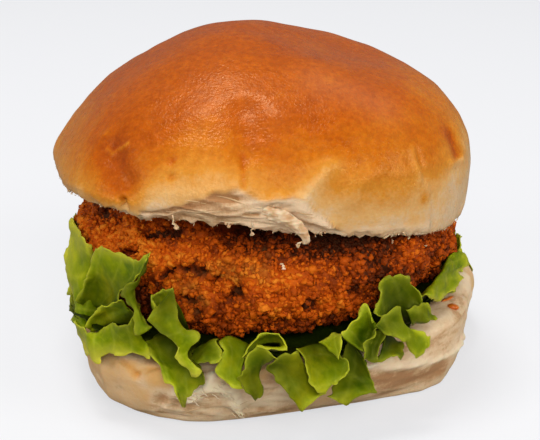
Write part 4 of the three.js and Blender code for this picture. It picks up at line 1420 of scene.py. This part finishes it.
# The painted sheen turns the crust paler and pinker.
painted_sheen_here = reckon(tree, "MULTIPLY", painted(tree, "painted_sheen"), 0.12)
colour = mixed(tree, painted_sheen_here, skin["Color"], srgb(240, 196, 168))
colour = mixed(tree, torn_here, colour, crumb["Color"])
relief = mixed(tree, torn_here, skin["Height"], reckon(tree, "MULTIPLY", crumb["Height"], 4))
rough = mixed(tree, torn_here, skin["Roughness"], (0.85, 0.85, 0.85, 1))
connect(
    tree, shader,
    Base_Color=colour, Roughness=rough, Specular_IOR_Level=0.35, Specular_Tint=srgb(255, 206, 150),
    Subsurface_Weight=0.06, Subsurface_Scale=0.002,
    Normal=bump(tree, relief, 0.3, 0.8),
)
dressed(upper_bun, crust_material, "bun_crust", "bun_top")

# ---- Threads on the upper half -------------------------------------------------------------------
# Thin threads drawn out of the white crumb as it was torn. Some lie along the bare crumb under the
# lip, and some run down the hanging flap.

upper_surface = surface_of(upper_bun)
thread_random = np.random.default_rng(61)


def crumb_height(angle):
    """How high the torn crumb reaches at a bearing."""
    return float(np.interp(51 * math.cos(math.radians(angle)), *zip(*TORN_TOP))) - 0.6


def rim_height(angle):
    """How high the cut edge is at a bearing."""
    return 50.6 - 2.3 * math.cos(math.radians(angle)) + 2.8 * math.exp(-(((angle + 172) / 50) ** 2))


front_paths = surface_threads(
    upper_surface, thread_random, 16, -112, -76, lambda a: rim_height(a) + 0.8, crumb_height, 7, -0.12, 0.05
)
FLAP_LINE = np.array([
    (-1.6, -48.9, 56.3), (2.2, -49.7, 55.1), (5.6, -49.5, 53.7), (8.0, -49.2, 51.9), (9.4, -48.9, 50.1),
    (9.9, -48.5, 48.6), (9.5, -48.4, 47.6),
])
FLAP_STRANDS, THREADS_ON_FLAP = 12, 14
narrowing = np.linspace(1.2, 0.7, 7)[:, None]
flap_paths = []
for number in range(FLAP_STRANDS + THREADS_ON_FLAP):
    spread = (0.35, 0.2, 0.5) if number < FLAP_STRANDS else (0.56, 0.32, 0.8)
    path = FLAP_LINE + thread_random.normal(size=3) * spread * narrowing
    flap_paths.append(path + thread_random.normal(size=path.shape) * 0.1)
upper_paths = np.concatenate([front_paths, flap_paths[FLAP_STRANDS:]])
widths = thread_random.uniform(0.15, 0.42, len(upper_paths))
tones = np.clip(thread_random.normal(0.6, 0.1, len(upper_paths)), 0, 1)
upper_threads = thread_mesh("upper_threads", upper_paths, widths, tones)
dressed(upper_threads, thread_material, "bun_crumb")

# ---- Hanging flap --------------------------------------------------------------------------------
# A flap of white crumb half torn off the lip. Its strands are still grown together, and it curls
# out and down in front of the patty.

FLAP_SPACING = 0.27
flap_widths = thread_random.uniform(1.3, 1.8, FLAP_STRANDS)
crumb_flap = thread_mesh(
    "crumb_flap", flap_paths[:FLAP_STRANDS], flap_widths, np.zeros(FLAP_STRANDS), 0.8, 8
)
made_fine(crumb_flap, FLAP_SPACING, 2)
p = points_of(crumb_flap)
frayed = 0.1 * fibres(p, 6, 0.6, 67, 2) + 0.09 * lumps(p, 1.2, 69, 2)
move_to(crumb_flap, p + normals_of(crumb_flap) * frayed[:, None])
# Paler where the crumb stands out and darker in the grooves, as painted light and shade.
paint(crumb_flap, "tone_and_light", np.clip(0.66 + 1.4 * frayed + 0.12 * lumps(p, 1.8, 68, 2), 0, 1))
dressed(crumb_flap, thread_material, "bun_crumb")

# ---- Ragged cut edge -----------------------------------------------------------------------------
# Small bits and short shreds of crumb that the knife left standing along the cut edge of the upper
# half. Three longer shreds hang at the front, each with a knot of crumb at its end.

HANGING = (
    [
        (-20.2, -50.2, 54.8), (-19.9, -50.6, 53.8), (-20.0, -50.8, 53.1), (-19.3, -50.9, 52.5),
        (-19.4, -50.9, 52.0),
    ],
    [(-2.3, -50.2, 53.2), (-2.5, -50.3, 52.5), (-2.3, -50.3, 51.7), (-2.6, -50.3, 51.0), (-2.6, -50.2, 50.4)],
    [(9.2, -48.6, 47.9), (8.6, -48.6, 47.6), (8.2, -48.7, 47.5), (7.9, -48.7, 47.3), (7.6, -48.7, 47.0)],
)
KNOTS = [(-19.4, -50.9, 51.9), (-2.6, -50.2, 50.2), (7.6, -48.7, 47.0), (9.4, -48.4, 47.6)]
EDGE_BITS, BITS_IN_KNOT, SHORT_SHREDS = 900, 4, 60

cut_edge = worn[lowest]
picked = thread_random.integers(0, BEARINGS, EDGE_BITS)
ragged = rise(lumps(cut_edge, 3.5, 63, 2), 0.0, 0.9)[picked]
bit_places = cut_edge[picked] + thread_random.normal(size=(EDGE_BITS, 3)) * (0.3, 0.3, 0.25)
bit_sizes = (0.14 + 0.26 * thread_random.random(EDGE_BITS) ** 1.6) * (0.3 + 0.9 * ragged)
knots = np.repeat(KNOTS, BITS_IN_KNOT, axis=0)
bit_places = np.vstack([bit_places, knots + thread_random.normal(size=knots.shape) * 0.22])
bit_sizes = np.append(bit_sizes, thread_random.uniform(0.25, 0.42, len(knots)))
bit_tones = np.clip(thread_random.normal(0.55, 0.1, len(bit_sizes)), 0, 1)
edge_bits = scatter("edge_bits", bit_places, bit_sizes, bit_tones, thread_random)
dressed(edge_bits, thread_material, "bun_crumb")

shreds = []
shred_widths = []
for place in cut_edge[thread_random.integers(0, BEARINGS, SHORT_SHREDS)]:
    outwards = np.array([place[0], place[1], 0]) / np.hypot(place[0], place[1])
    sideways = np.array([-outwards[1], outwards[0], 0])
    long = thread_random.uniform(0.4, 1.1)
    lean = sideways * thread_random.normal() * 0.7 - outwards * thread_random.uniform(0, 0.5)
    steps = np.linspace(0, 1, 5)[:, None]
    curl = sideways * thread_random.normal() * 0.5
    shreds.append(place + steps * long * (lean + (0, 0, -0.8)) + curl * steps**2)
    shred_widths.append(thread_random.uniform(0.2, 0.45))
for path in HANGING:
    for _ in range(3):
        shreds.append(np.array(path) + thread_random.normal(size=(5, 3)) * 0.12)
        shred_widths.append(0.4)
shred_tones = np.clip(thread_random.normal(0.7, 0.18, len(shreds)), 0, 1)
edge_shreds = thread_mesh("edge_shreds", shreds, shred_widths, shred_tones)
dressed(edge_shreds, thread_material, "bun_crumb")
